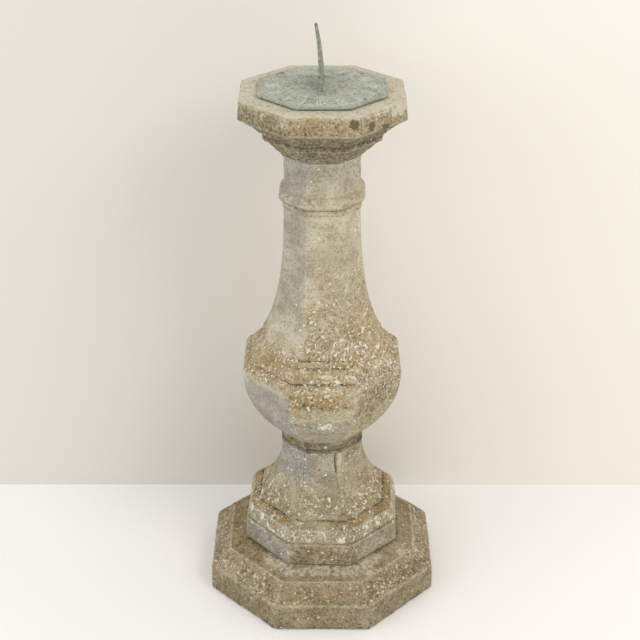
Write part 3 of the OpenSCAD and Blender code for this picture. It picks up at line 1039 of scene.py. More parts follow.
@dataclass(frozen=True)
class StoneFinish(Finish):
    """The look of one weathered stone."""

    pale: Tint
    middle: Tint
    dark: Tint
    contrast: float = 0.8
    ochre: Tint = (150, 122, 78)
    # the tint of the painted cool light and shade
    cool_light_and_shade: Tint = (184, 179, 170)
    grime_and_shade: Tint = (84, 76, 60)
    worn: Tint = (206, 200, 180)
    worn_share: float = 0.3
    # how strongly the painted crease shade darkens the hollows
    crease_shade_share: float = 0.5
    spot: Tint = (84, 76, 60)
    crust: Tint = (226, 220, 202)
    crust_sizes: tuple[float, float] = (4.0, 9.0)
    ochre_specks: float = 0.8
    stain_size: float = 9.0
    dots: float = 0.35
    pore_share: float = 0.25
    bump: float = 0.7

    def material(self) -> bpy.types.Material:
        """Builds the material: stone body, soaked stains, wear, crusts of lichen and pores.

        Returns:
            The finished material.
        """
        canvas = Canvas(self.name)
        graph, place = canvas.graph, canvas.place
        tones = {"pale": colour(self.pale), "middle": colour(self.middle), "dark": colour(self.dark)}
        body = STONE_BODY.use(graph, place=place, **tones, contrast=self.contrast)
        tone, height = body.outputs["Colour"], body.outputs["Height"]
        lichen = graph.skin(Skin.LICHEN)

        def stain(layer: Skin, size: float, ragged: float, soft: float) -> Socket:
            """A ragged mask from one painted skin."""
            inputs = {"amount": graph.skin(layer), "size": size, "raggedness": ragged, "softness": soft}
            return RAGGED_STAIN.use(graph, place=place, **inputs).outputs["Mask"]

        def crusts(amount: Value, size: float) -> Socket:
            """Ragged crusts of about one size in millimetres."""
            return RAGGED_CRUST.use(graph, place=place, amount=amount, size=size).outputs["Mask"]

        def overlay(share: Socket, strength: float, tint: Value) -> Socket:
            """The tone with one more colour over it."""
            return graph.blend(graph.times(share, strength), tone, tint)

        def soak(share: Socket, strength: float, tint: Tint) -> Socket:
            """The tone with a stain soaked in, so that the grain still shows through it."""
            ratio = tuple(wet / dry for wet, dry in zip(colour(tint), colour(self.middle)))
            return graph.blend(graph.times(share, strength), tone, ratio, mode="MULTIPLY")

        # painted cool light and shade soaked into the tone
        tone = soak(stain(Skin.COOL_LIGHT_AND_SHADE, size=45, ragged=0.7, soft=0.35), 0.9, self.cool_light_and_shade)
        tone = soak(stain(Skin.OCHRE, size=self.stain_size, ragged=1.9, soft=0.35), 0.9, self.ochre)
        tone = soak(crusts(graph.times(lichen, self.ochre_specks), 5.0), 0.8, self.ochre)
        # dirt and painted shade soaked in with one dark colour
        tone = soak(stain(Skin.GRIME_AND_SHADE, size=self.stain_size * 1.1, ragged=1.5, soft=0.3), 0.9, self.grime_and_shade)
        # painted crease shade: hollows and creases darkened with the dark colour
        tone = soak(stain(Skin.CREASE_SHADE, size=7, ragged=1.3, soft=0.35), self.crease_shade_share, self.grime_and_shade)
        tone = overlay(stain(Skin.WEAR, size=6, ragged=1.9, soft=0.2), self.worn_share, colour(self.worn))
        tone = overlay(stain(Skin.SCAR, size=7, ragged=0.9, soft=0.12), 0.7, colour(self.worn))
        tone = overlay(stain(Skin.SPOT, size=4, ragged=0.7, soft=0.08), 0.8, colour(self.spot))
        small = crusts(lichen, self.crust_sizes[0])
        large = crusts(graph.math("SUBTRACT", lichen, 0.12, clamp=True), self.crust_sizes[1])
        density = graph.times(lichen, self.dots)
        dots = LICHEN_SPECKS.use(graph, place=place, density=density, spacing=6.0, reach=0.42).outputs["Mask"]
        crust = colour(self.crust)
        tone = overlay(small, 0.72, graph.blend(0.4, crust, colour(self.pale)))
        tone = overlay(large, 0.85, crust)
        tone = overlay(dots, 0.8, crust)
        pores = FINE_PORES.use(graph, place=place, spacing=4.5, share=self.pore_share).outputs["Mask"]
        tone = overlay(pores, 0.6, colour(self.grime_and_shade))
        grown = graph.math("MAXIMUM", graph.math("MAXIMUM", small, large), dots)
        raised = graph.math("MULTIPLY_ADD", grown, 0.35, height)
        raised = graph.math("MULTIPLY_ADD", pores, -0.7, raised)
        canvas.feed({"Base Color": tone, "Roughness": graph.step(height, 0.3, 0.7, 0.82, 0.97)})
        canvas.feed({"Normal": canvas.relief(raised, self.bump, 1.6), "Specular IOR Level": 0.25})
        return canvas.material


@dataclass(frozen=True)
class PlainFinish(Finish):
    """Mortar, grout, steel or lead: one body colour broken up by grain."""

    pale: Tint
    middle: Tint
    dark: Tint
    metallic: float = 0.0
    roughness: tuple[float, float] = (0.8, 0.95)
    bump: float = 0.8

    def material(self) -> bpy.types.Material:
        """Builds the material.

        Returns:
            The finished material.
        """
        canvas = Canvas(self.name)
        tones = {"pale": colour(self.pale), "middle": colour(self.middle), "dark": colour(self.dark)}
        body = STONE_BODY.use(canvas.graph, place=canvas.place, **tones, contrast=1.2)
        height = body.outputs["Height"]
        rough = canvas.graph.step(height, 0.3, 0.7, *self.roughness)
        canvas.feed({"Base Color": body.outputs["Colour"], "Roughness": rough, "Metallic": self.metallic})
        canvas.feed({"Normal": canvas.relief(height, self.bump, 1.0)})
        return canvas.material


@dataclass(frozen=True)
class BronzeFinish(Finish):
    """Weathered bronze or brass with its bloom of verdigris."""

    bloom: Tint = (154, 160, 148)
    pale: Tint = (188, 194, 184)
    dark: Tint = (112, 118, 104)
    rubbed: float = 0.0
    metallic: float = 0.15
    bump: float = 0.5

    def material(self) -> bpy.types.Material:
        """Builds the material.

        Returns:
            The finished material.
        """
        canvas = Canvas(self.name)
        tones = {"bloom": colour(self.bloom), "pale": colour(self.pale), "dark": colour(self.dark)}
        skin = VERDIGRIS.use(canvas.graph, place=canvas.place, **tones, rubbed=self.rubbed).outputs
        canvas.feed({"Base Color": skin["Colour"], "Roughness": skin["Roughness"], "Metallic": self.metallic})
        canvas.feed({"Normal": canvas.relief(skin["Height"], self.bump, 0.5)})
        return canvas.material


BASE_FINISH = StoneFinish(
    name="base_stone_finish", pale=(174, 160, 132), middle=(146, 131, 102), dark=(88, 76, 54),
    contrast=0.8, ochre=(132, 112, 76), worn=(202, 193, 171), worn_share=0.55, crust=(216, 206, 182),
    ochre_specks=1.0, dots=0.7,
)
FOOT_FINISH = StoneFinish(
    name="foot_stone_finish", pale=(185, 176, 151), middle=(157, 146, 118), dark=(96, 84, 60),
    contrast=0.7, worn=(208, 201, 181), ochre=(142, 119, 78), cool_light_and_shade=(150, 145, 133), crust=(234, 228, 211),
    crust_sizes=(4.0, 11.5), crease_shade_share=0.3, dots=1.0,
)
BALUSTER_FINISH = StoneFinish(
    name="baluster_stone_finish", pale=(204, 196, 173), middle=(182, 171, 145), dark=(122, 108, 80),
    contrast=0.55, ochre=(152, 124, 74), grime_and_shade=(104, 92, 64), ochre_specks=1.0, worn_share=0.12,
    crease_shade_share=0.3, cool_light_and_shade=(158, 152, 140), worn=(214, 206, 182), crust=(236, 231, 215), dots=0.5,
)
CAPITAL_FINISH = StoneFinish(
    name="capital_stone_finish", pale=(194, 183, 156), middle=(170, 156, 125), dark=(96, 83, 57),
    contrast=0.85, cool_light_and_shade=(182, 178, 160), grime_and_shade=(100, 92, 70), spot=(94, 84, 54), worn=(214, 208, 189),
    worn_share=0.2, ochre=(146, 124, 80), stain_size=5.0,
)
MORTAR_FINISH = PlainFinish("mortar_finish", (150, 140, 118), (112, 102, 82), (62, 54, 42))
GROUT_FINISH = PlainFinish("grout_finish", (172, 170, 162), (146, 143, 134), (104, 101, 94))
STEEL_FINISH = PlainFinish(
    "rusted_steel_finish", (140, 92, 60), (104, 64, 42), (58, 38, 30), metallic=0.5, roughness=(0.55, 0.8)
)
LEAD_FINISH = PlainFinish(
    "lead_finish", (150, 152, 156), (120, 122, 126), (84, 86, 90), metallic=0.8, roughness=(0.4, 0.6),
    bump=0.4,
)
DIAL_FINISH = BronzeFinish(
    "dial_bronze_finish", bloom=(170, 174, 162), pale=(198, 202, 193), dark=(120, 122, 104)
)
LETTER_FINISH = BronzeFinish(
    "raised_lettering_finish", bloom=(176, 180, 168), pale=(212, 215, 205), dark=(132, 134, 118), rubbed=0.85
)
GNOMON_FINISH = BronzeFinish(
    "gnomon_bronze_finish", bloom=(148, 151, 134), pale=(188, 191, 177), dark=(92, 94, 76), metallic=0.2
)
SCREW_FINISH = BronzeFinish(
    "screw_brass_finish", bloom=(164, 167, 152), pale=(196, 199, 187), dark=(112, 112, 92), metallic=0.2
)


# ---------------------------------------------------------------- the stones


@dataclass(frozen=True)
class Bore:
    """A round hole that runs into a stone from one of its faces, in millimetres."""

    radius: float
    depth: float
    mouth: float  # the first round row of the face
    rims: tuple[float, ...]  # the eight-sided rows outside it

    def path(self, face: float, way: int) -> Path:
        """The path from the outermost rim over the face and down the hole.

        Args:
            face: The height of the face in metres.
            way: 1 for a hole that runs up and -1 for one that runs down.

        Returns:
            The path's corners.
        """
        over_face = [*octagons(face, *self.rims), *circles(face, self.mouth, self.radius)]
        return over_face + circles(face + way * self.depth * MM, self.radius, AXIS)


@dataclass
class BaseSlab(OctagonalPiece):
    """The stepped base stone that stands on the ground."""

    node: str = "base_slab"
    body: str = "base"
    slot: str = "base_stone"
    finish: Finish = BASE_FINISH
    weather: Weather = Weather(soften=2.4, arris=9, sway=1.0, rough=0.5, chips=2.2, pit_share=0.2)
    patches: tuple[Patch, ...] = (
        Patch(Skin.SCAR, 30, 162, 80, 16, 3, 0.8),
        Patch(Skin.SCAR, 60, 160, 80, 10, 4, 0.95),
        Patch(Skin.SCAR, 71, 150, 82, 6, 4, 0.9),
        Patch(Skin.LICHEN, 66, 168, 77, 26, 7, 0.85),
    )
    columns: int = 60
    pitch: float = 1.6
    seed: int = 11
    dowel_socket: Bore = Bore(16.0, 50.0, mouth=24, rims=(45,))
    underside: float = 188.0
    seat_edge: float = 9.0

    def inner_start(self) -> Path:
        """The flat underside, as far as the edge."""
        return octagons(self.bottom, AXIS, self.underside)

    def inner_end(self) -> Path:
        """The seat under the foot and the socket for the dowel."""
        return octagons(self.top, self.top_half / MM - self.seat_edge) + self.dowel_socket.path(self.top, -1)

    def shape(self, at: Facts) -> Array:
        """The worn hollow at the front and the settled upper step.

        Args:
            at: What is known of each point.

        Returns:
            How far each point moves outward, in millimetres.
        """
        top = ramp(at.height, 62, 80)
        uneven = Grain(self.seed + 7).rough(at.points, 34 * MM, 3)
        step = 1.1 * line(at.height, 75.5, 3.5) - 0.9 * line(at.height, 83, 4)
        return top * uneven * 0.7 + step - 0.5 * top * ramp(np.abs(at.turn), 34, 8)

    def paint(self, at: Facts) -> dict[Skin, Array]:
        """Dirt along the ground, painted shade where the foot stands, growth on the step and dark stain on
        the left.

        Args:
            at: What is known of each point.

        Returns:
            One set of numbers for each skin.
        """
        height, turn = at.height, at.turn
        left = between(turn, -140, -90, -50, -16)
        flank = ramp(np.abs(turn), 20, 26)
        top, chamfer = ramp(height, 77.5, 79.5), between(height, 50, 54, 73, 76)
        soil = ramp(height, 16, 0) * 0.6
        # darkening on the base's top where the foot stands is painted shade
        under_edge, shade_at_foot = ramp(height, 50, 46) * 0.3, ramp(height, 88, 90) * 0.5
        damp = chamfer * (0.5 - 0.25 * flank)
        seat = 0.51 * ramp(height, 81, 84) * ramp(np.abs(turn), 60, 40)
        return {
            Skin.GRIME_AND_SHADE: most(soil, under_edge, shade_at_foot, left * top * 0.26, chamfer * flank * 0.36),
            Skin.OCHRE: most(left * top * 0.58, damp, line(height, 80.5, 2.2) * 0.5, 0.26 * top),
            Skin.LICHEN: 0.1 + chamfer * (0.22 + 0.2 * flank) + 0.16 * top * ramp(turn, 20, 60),
            Skin.SCAR: most(line(height, 77.8, 1.3) * 0.6, seat),
            Skin.WEAR: 1.2 * ramp(height, 79.5, 77.5) * (1 - 0.42 * ramp(height, 58, 52)),
        }


@dataclass
class FootBlock(OctagonalPiece):
    """The moulded foot: upright side, groove, worn band and a flare that sweeps up to the neck."""

    node: str = "foot_block"
    body: str = "pedestal"
    slot: str = "foot_stone"
    finish: Finish = FOOT_FINISH
    weather: Weather = Weather(soften=1.6, arris=12, rough=0.4, chips=1.6)
    patches: tuple[Patch, ...] = (
        Patch(Skin.SPOT, -110, 98, 189, 4, 4, 1.0, 1.2),
        Patch(Skin.SPOT, -114, 122, 167, 3, 3, 1.0, 1.0),
        Patch(Skin.SCAR, 25, 74, 270, 5, 24, 0.8),
    )
    columns: int = 46
    pitch: float = 1.6
    seed: int = 23
    dowel_socket: Bore = Bore(13.7, 44.0, mouth=22, rims=(126, 45))
    rod_socket: Bore = Bore(12.0, 42.0, mouth=20, rims=(60, 35))
    crack_turn: float = 18.0
    crack_foot: float = 150.0

    def inner_start(self) -> Path:
        """The socket for the base's dowel and the flat underside."""
        return self.dowel_socket.path(self.bottom, 1)[::-1]

    def inner_end(self) -> Path:
        """The bedding face and the socket for the rod."""
        return self.rod_socket.path(self.top, -1)

    def _up(self, at: Facts) -> Array:
        """Millimetres above the underside of this stone."""
        return at.height - self.bottom / MM

    def _crack(self, at: Facts) -> Array:
        """How near each point is to the crack in the neck.

        Args:
            at: What is known of each point.

        Returns:
            From 0, away from the crack, to 1 on it.
        """
        wander = 2.2 * Grain(self.seed + 3).rough(at.points, 30 * MM, 3)
        gap = np.radians(at.turn - self.crack_turn) * at.out - wander
        return line(gap, 0, 1.5) * ramp(self._up(at), self.crack_foot - 6, self.crack_foot + 12)

    def shape(self, at: Facts) -> Array:
        """The crack, the spalled arris beside it and the worn band.

        Args:
            at: What is known of each point.

        Returns:
            How far each point moves outward, in millimetres.
        """
        up = self._up(at)
        uneven = Grain(self.seed + 7).rough(at.points, 16 * MM, 3)
        crease = 0.9 * line(up, 83.5, 2.4) - 2.6 * line(up, 79.2, 1.5)
        return between(up, 44, 48, 68, 74) * uneven * 0.8 + crease - 3.2 * self._crack(at)

    def paint(self, at: Facts) -> dict[Skin, Array]:
        """Dirt low on the fascia, painted shade in the groove and the crease, painted cool light and shade,
        growth on the flare.

        Args:
            at: What is known of each point.

        Returns:
            One set of numbers for each skin.
        """
        up, turn, off = self._up(at), at.turn, np.abs(at.turn)
        side, right = ramp(off, 18, 28), ramp(turn, 20, 60)
        left = between(turn, -84, -76, -27, -22)
        fascia, band, ledge = ramp(up, 43, 40), between(up, 46, 48, 66, 70), between(up, 66, 71, 78, 81)
        flare = ramp(up, 80, 83)
        broken = ramp(Grain(self.seed + 5).rough(at.points, 26 * MM, 3), -0.5, 0.2)
        # the quirk line in the groove and the crease at the foot of the flare are painted shade
        soil, quirk = ramp(up, 15, 0) * 0.6, line(up, 44, 1.6) * 0.46
        crease = line(up, 79, 1.6) * broken * 0.75
        arrises = flare * ramp(at.corner, 0.7, 1.0) * 0.6 * ramp(off, 40, 30)
        low_flare = flare * ramp(up, 136, 84) * (0.46 + 0.2 * right)
        growth = flare * (0.1 + 0.33 * ramp(up, 140, 84) + 0.1 * right)
        left_neck = between(turn, -84, -66, -22, -10) * ramp(up, 108, 150) * 0.86
        front_neck = 0.42 * flare * ramp(off, 24, 14) * ramp(up, 100, 150)
        return {
            Skin.GRIME_AND_SHADE: most(soil, quirk, crease, fascia * (0.44 - 0.18 * side), arrises),
            Skin.OCHRE: most(
                ledge * (0.5 + 0.26 * side),
                fascia * (0.5 - 0.32 * side),
                0.28 * band,
                low_flare,
                flare * 0.3 * right,
            ),
            Skin.LICHEN: 0.06 + 0.46 * band + 0.3 * ledge + 0.12 * fascia + growth,
            # painted cool light and shade, mostly on the left faces and up the neck
            Skin.COOL_LIGHT_AND_SHADE: most(
                left * fascia * 0.7,
                left * band * 0.4,
                fascia * ramp(turn, 26, 34) * 0.34,
                left_neck,
                front_neck,
            ),
            Skin.SPOT: self._crack(at),
            Skin.WEAR: 1 - 0.5 * flare,
        }


@dataclass
class NeckMortar(OctagonalPiece):
    """The rough mortar bed between foot and baluster, with the sleeve that holds the rod."""

    node: str = "neck_mortar"
    body: str = "pedestal"
    slot: str = "mortar"
    finish: Finish = MORTAR_FINISH
    weather: Weather = Weather(soften=0.8, arris=26.0, sway=0.9, rough=0.8, rough_size=7, chips=1.2)
    columns: int = 24
    pitch: float = 0.8
    seed: int = 31
    ends: Ends = Ends.JOINED
    bore_radius: float = 8.05
    sleeve_radius: float = 11.95
    dirt: float = 0.35

    def inner_end(self) -> Path:
        """Over the top, down the bore and up the outside of the sleeve.

        Returns:
            The path's corners.
        """
        deep, bore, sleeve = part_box(self.node)[0][2], self.bore_radius, self.sleeve_radius
        over_top = octagons(self.top, 35) + circles(self.top, 20, bore)
        underside = circles(self.bottom, sleeve, 22) + octagons(self.bottom, 45)
        return over_top + circles(deep, bore, sleeve) + underside

    def paint(self, at: Facts) -> dict[Skin, Array]:
        """Dark all round."""
        return {Skin.GRIME_AND_SHADE: np.full(at.turn.shape, self.dirt)}


@dataclass
class Baluster(OctagonalPiece):
    """The vase-shaped middle stone: collar, bowl, sloped shoulder, tapered shaft, ring and neck."""

    node: str = "baluster"
    body: str = "pedestal"
    slot: str = "baluster_stone"
    finish: Finish = BALUSTER_FINISH
    weather: Weather = Weather(soften=0.9, arris=13, sway=0.5, rough=0.28, chips=0.8, pit_share=0.1)
    patches: tuple[Patch, ...] = (
        Patch(Skin.OCHRE, -50, 100, 470, 34, 16, 0.8),
        Patch(Skin.SCAR, 2, 126, 462, 17, 4, 0.9),
        Patch(Skin.GRIME_AND_SHADE, -8, 124, 416, 26, 11, 0.62),
        Patch(Skin.LICHEN, 3, 116, 366, 20, 10, 0.9),
    )
    columns: int = 30
    pitch: float = 1.9
    seed: int = 47
    ends: Ends = Ends.JOINED
    bore_radius: float = 8.05
    bowl_arris: float = 32.0
    collar_arris: float = 22.0  # this much rounder still at the collar

    def inner_end(self) -> Path:
        """The bedding face and the bore for the rod."""
        over_top = octagons(self.top, 56, 35) + circles(self.top, 20, self.bore_radius)
        return over_top + circles(self.bottom, self.bore_radius, 20) + octagons(self.bottom, 35, 62)

    def arris_at(self, height: Array) -> Array:
        """Rounder at the collar and under the bowl than above."""
        low, collar = ramp(height, 0.385, 0.325), ramp(height, 0.315, 0.304)
        return self.weather.arris + (self.bowl_arris - self.weather.arris) * low + self.collar_arris * collar

    def shape(self, at: Facts) -> Array:
        """The crumbled collar and the crusty rim above the bowl.

        Args:
            at: What is known of each point.

        Returns:
            How far each point moves outward, in millimetres.
        """
        height, front = at.height, ramp(np.abs(at.turn), 27, 20)
        collar, rim = ramp(height, 306, 300), between(height, 438, 444, 470, 500)
        uneven = Grain(self.seed + 7).rough(at.points, 12 * MM, 3)
        lines = 1.3 * line(height, 471.5, 1.6) + 1.1 * line(height, 483, 1.5) + 0.9 * line(height, 451, 1.8)
        return collar * (uneven * 2.2 - 0.4) + rim * (0.8 * uneven - 0.2) - lines * (0.3 + 0.7 * front)

    def paint(self, at: Facts) -> dict[Skin, Array]:
        """Lichen thick on the shoulder and thinner up the shaft, damp stains on the bowl, painted shade under
        the bowl, the lip, the ring and the cap, a painted highlight on the ring and painted cool light and
        shade.

        Args:
            at: What is known of each point.

        Returns:
            One set of numbers for each skin.
        """
        height, turn, off = at.height, at.turn, np.abs(at.turn)
        right, front = ramp(turn, -24, -14), ramp(off, 24, 21)
        left = between(turn, -120, -100, -24, -21)
        shoulder, shaft = between(height, 428, 446, 478, 520), between(height, 470, 490, 490, 700)
        bowl = between(height, 300, 316, 436, 446)
        front_bowl, left_bowl = bowl * front, left * bowl
        right_bowl = bowl * between(turn, 14, 30, 120, 150)
        rim_line = line(height, 451, 1.4)
        steps = line(height, 471.5, 1.3) + line(height, 483, 1.3)
        ring, neck = between(height, 724, 730, 754, 760), ramp(height, 752, 776)
        neck_ochre = 0.3 * ring + 0.13 * ramp(height, 756, 780) * (1 - left)
        # painted shadow lines under the ring and its fillet
        ring_shadow_lines = line(height, 727, 1.5) * 0.62 + line(height, 736.5, 1.5) * 0.42
        return {
            Skin.LICHEN: most(
                shoulder * (0.46 + 0.1 * ramp(turn, -20, 40)),
                shaft * (0.14 + 0.36 * right),
                right_bowl * 0.4,
                front_bowl * (0.26 + 0.18 * ramp(height, 380, 430)),
                0.42 * rim_line,
                0.05 * right,
            ),
            Skin.OCHRE: most(
                shoulder * 0.56,
                shaft * right * 0.56,
                neck_ochre,
                front_bowl * ramp(height, 388, 414) * 0.66,
                right_bowl * 0.46,
                front_bowl * 0.3,
            ),
            # painted cool light and shade: the left faces, the lower bowl and the neck under the cap
            Skin.COOL_LIGHT_AND_SHADE: most(
                left_bowl * ramp(height, 436, 420) * 0.9,
                left * ramp(height, 500, 560) * 0.6,
                neck * (0.46 + 0.49 * left),
                front_bowl * ramp(height, 392, 372) * 0.6,
            ),
            # painted highlight: the rounded band of the ring painted paler
            Skin.SCAR: 0.44 * between(height, 739, 743, 755, 759),
            # painted crease shade, kept below the neck
            Skin.CREASE_SHADE: 1 - ramp(height, 749, 753),
            # painted shade: the collar under the bowl, the line under the lip, the neck under the cap and the
            # lines under the ring
            Skin.GRIME_AND_SHADE: most(
                ramp(height, 306, 298) * 0.76,
                right_bowl * ramp(height, 340, 400) * 0.42,
                left_bowl * ramp(height, 400, 340) * 0.3,
                ramp(height, 757, 800) * 0.2,
                rim_line * 0.56 * ramp(off, 40, 24),
                steps * 0.8 * ramp(off, 30, 20),
                ring_shadow_lines,
            ),
        }


@dataclass
class Capital(OctagonalPiece):
    """The cap stone: eroded moulding below, upright side and flat top that carries the dial."""

    node: str = "capital"
    body: str = "head"
    slot: str = "capital_stone"
    finish: Finish = CAPITAL_FINISH
    weather: Weather = Weather(soften=1.5, arris=8, sway=0.4, rough=0.4, chips=0.9)
    patches: tuple[Patch, ...] = (
        Patch(Skin.SPOT, 20, 139, 904, 7.5, 7.5),
        Patch(Skin.SPOT, 34, 134, 895, 8, 8),
        Patch(Skin.SPOT, 47, 132, 884, 9, 7),
        Patch(Skin.SCAR, 56, 133, 904, 6.5, 6),
        Patch(Skin.SCAR, 62, 139, 906, 15, 10, 0.95, 0.9),
        Patch(Skin.SCAR, -26, 138, 900, 3, 5.5, 1.0, 1.4),
        Patch(Skin.SCAR, -39, 136, 891, 1.8, 1.8),
        Patch(Skin.SCAR, 8, 135, 894, 1.5, 1.5),
        Patch(Skin.OCHRE, -7, 131, 911, 10, 5, 1.0, 0.8),
        Patch(Skin.SPOT, -31, 85, 838, 2.4, 2.4, 1.0, 3.0),
        Patch(Skin.SPOT, -13, 96, 846, 2.4, 2.4, 1.0, 3.0),
        Patch(Skin.SPOT, -8, 77, 831, 2.2, 2.2, 1.0, 3.0),
        Patch(Skin.SPOT, 2, 74, 828, 2.2, 2.2, 1.0, 3.0),
        Patch(Skin.SPOT, -16, 112, 867, 2.2, 2.2, 1.0, 3.0),
    )
    columns: int = 44
    pitch: float = 1.3
    seed: int = 59
    rod_socket: Bore = Bore(9.2, 38.0, mouth=18, rims=(54, 35))
    flat_top: float = 88.0

    def inner_start(self) -> Path:
        """The socket for the rod and the bedding face."""
        return self.rod_socket.path(self.bottom, 1)[::-1]

    def inner_end(self) -> Path:
        """The flat top under the dial."""
        return octagons(self.top, self.flat_top, AXIS)

    def _down(self, at: Facts) -> Array:
        """Millimetres below the top of this stone."""
        return self.top / MM - at.height

    def shape(self, at: Facts) -> Array:
        """The frost-eaten underside.

        Args:
            at: What is known of each point.

        Returns:
            How far each point moves outward, in millimetres.
        """
        eaten = Grain(self.seed + 7)
        flakes = np.abs(eaten.rough(at.points * np.array([1, 1, 1.6]), 17 * MM, 4, 0.6))
        return ramp(self._down(at), 34, 44) * (2.8 * flakes - 0.5 + 1.0 * eaten.rough(at.points, 6 * MM, 2))

    def paint(self, at: Facts) -> dict[Skin, Array]:
        """Darker and damp-stained underneath, painted shade on the left of the fascia, painted cool light on
        the top and underneath, worn top edge.

        Args:
            at: What is known of each point.

        Returns:
            One set of numbers for each skin.
        """
        down, turn = self._down(at), at.turn
        under, top, fascia = ramp(down, 31, 36), ramp(down, 3.0, 0.6), between(down, 2, 5, 30, 33)
        # the fascia darkens towards its bottom, and the last term is painted shade on its left faces
        dirt = 0.12 + 0.16 * ramp(down, 6, 20) + 0.2 * ramp(down, 24, 31) + 0.2 * ramp(turn, -20, -28)
        rusty = ramp(down, 1, 9) * (0.4 + 0.12 * ramp(np.abs(turn), 26, 20))
        right_scars = 0.42 * between(turn, 24, 34, 68, 80) * ramp(down, 28, 12)
        return {
            Skin.GRIME_AND_SHADE: most(under * 0.58, fascia * dirt),
            Skin.OCHRE: most(fascia * rusty, 0.3 * under),
            # painted cool light, paler, on the top and underneath
            Skin.COOL_LIGHT_AND_SHADE: most(top * 0.3, under * 0.3),
            Skin.LICHEN: 0.08 + 0.1 * top + 0.04 * under,
            Skin.SCAR: top * 0.58 + fascia * (0.34 * ramp(down, 9, 2) + right_scars),
        }


@dataclass
class DialBedding(OctagonalPiece):
    """The thin bed of mortar that lifts the dial off the stone."""

    node: str = "dial_bedding"
    body: str = "head"
    slot: str = "mortar"
    finish: Finish = MORTAR_FINISH
    weather: Weather = Weather(soften=0.4, arris=1.5, sway=0.6, rough=0.6, rough_size=6, chips=0.6)
    columns: int = 30
    pitch: float = 0.7
    seed: int = 67


# ---------------------------------------------------------------- the dial and gnomon


@dataclass(frozen=True)
class Stroke:
    """One raised stroke on the dial, in millimetres from its middle, turned from the X axis."""

    x: float
    y: float
    turn: float
    length: float
    width: float
    height: float = 0.6


class Repeater:
    """A Geometry Nodes tree with named inputs that makes something repeat on loose points."""

    def __init__(self, name: str, inputs: dict[str, Value]) -> None:
        """Makes the tree and its inputs.

        Args:
            name: The tree's name.
            inputs: The value of each named input.
        """
        self.tree = bpy.data.node_groups.new(name, "GeometryNodeTree")
        sockets = self.tree.interface
        sockets.new_socket(name="Geometry", in_out="INPUT", socket_type="NodeSocketGeometry")
        self.values: dict[str, Value] = {}
        for label, value in inputs.items():
            item = sockets.new_socket(name=label, in_out="INPUT", socket_type=socket_kind(value))
            self.values[item.identifier] = value
        sockets.new_socket(name="Geometry", in_out="OUTPUT", socket_type="NodeSocketGeometry")
        self.graph = Graph(self.tree)
        self.given = dict(self.graph.add("NodeGroupInput").outputs.items())

    def number(self, label: str) -> Socket:
        """Reads a number kept on each point."""
        return self.graph.out("GeometryNodeInputNamedAttribute", {"Name": label}, data_type="FLOAT")

    def triple(self, x: Value = 0.0, y: Value = 0.0, z: Value = 0.0) -> Socket:
        """Three numbers as one place, turn or size."""
        return self.graph.out("ShaderNodeCombineXYZ", {0: x, 1: y, 2: z})

    def repeat(self, shape: Socket, size: Value = (1, 1, 1)) -> Socket:
        """Puts a shape on every point, turned as the point says.

        Args:
            shape: The shape's geometry.
            size: Its size along each axis.

        Returns:
            The repeated geometry.
        """
        turned = self.triple(z=self.number("turn"))
        inputs = {"Points": self.given["Geometry"], "Instance": shape, "Rotation": turned, "Scale": size}
        return self.graph.out("GeometryNodeInstanceOnPoints", inputs)

    def grow(self, parts: list[Socket], strokes: list[Stroke], level: float, name: str) -> Object:
        """Ends the tree, runs it on a point for each stroke and keeps the plain result.

        Args:
            parts: The geometries to join.
            strokes: Where each point stands, with its turn and sizes.
            level: The height of the surface they stand on, in metres.
            name: The name of the finished piece.

        Returns:
            The plain object.
        """
        graph = self.graph
        joined = graph.add("GeometryNodeJoinGeometry")
        for part in reversed(parts):
            self.tree.links.new(part, joined.inputs[0])
        real = graph.out("GeometryNodeRealizeInstances", {0: joined.outputs[0]})
        dressed = graph.out("GeometryNodeSetMaterial", {"Geometry": real, "Material": self.given["Material"]})
        graph.add("NodeGroupOutput", {0: dressed})
        mesh = bpy.data.meshes.new(name)
        mesh.from_pydata([(s.x * MM, s.y * MM, level) for s in strokes], [], [])
        for label in ("turn", "length", "width", "height"):
            attribute = mesh.attributes.new(label, "FLOAT", "POINT")
            attribute.data.foreach_set("value", [getattr(s, label) for s in strokes])
        points = link(name + "_points", mesh)
        modifier = points.modifiers.new("repeat", "NODES")
        modifier.node_group = self.tree
        for identifier, value in self.values.items():
            modifier[identifier] = value
        return settled(points, name)


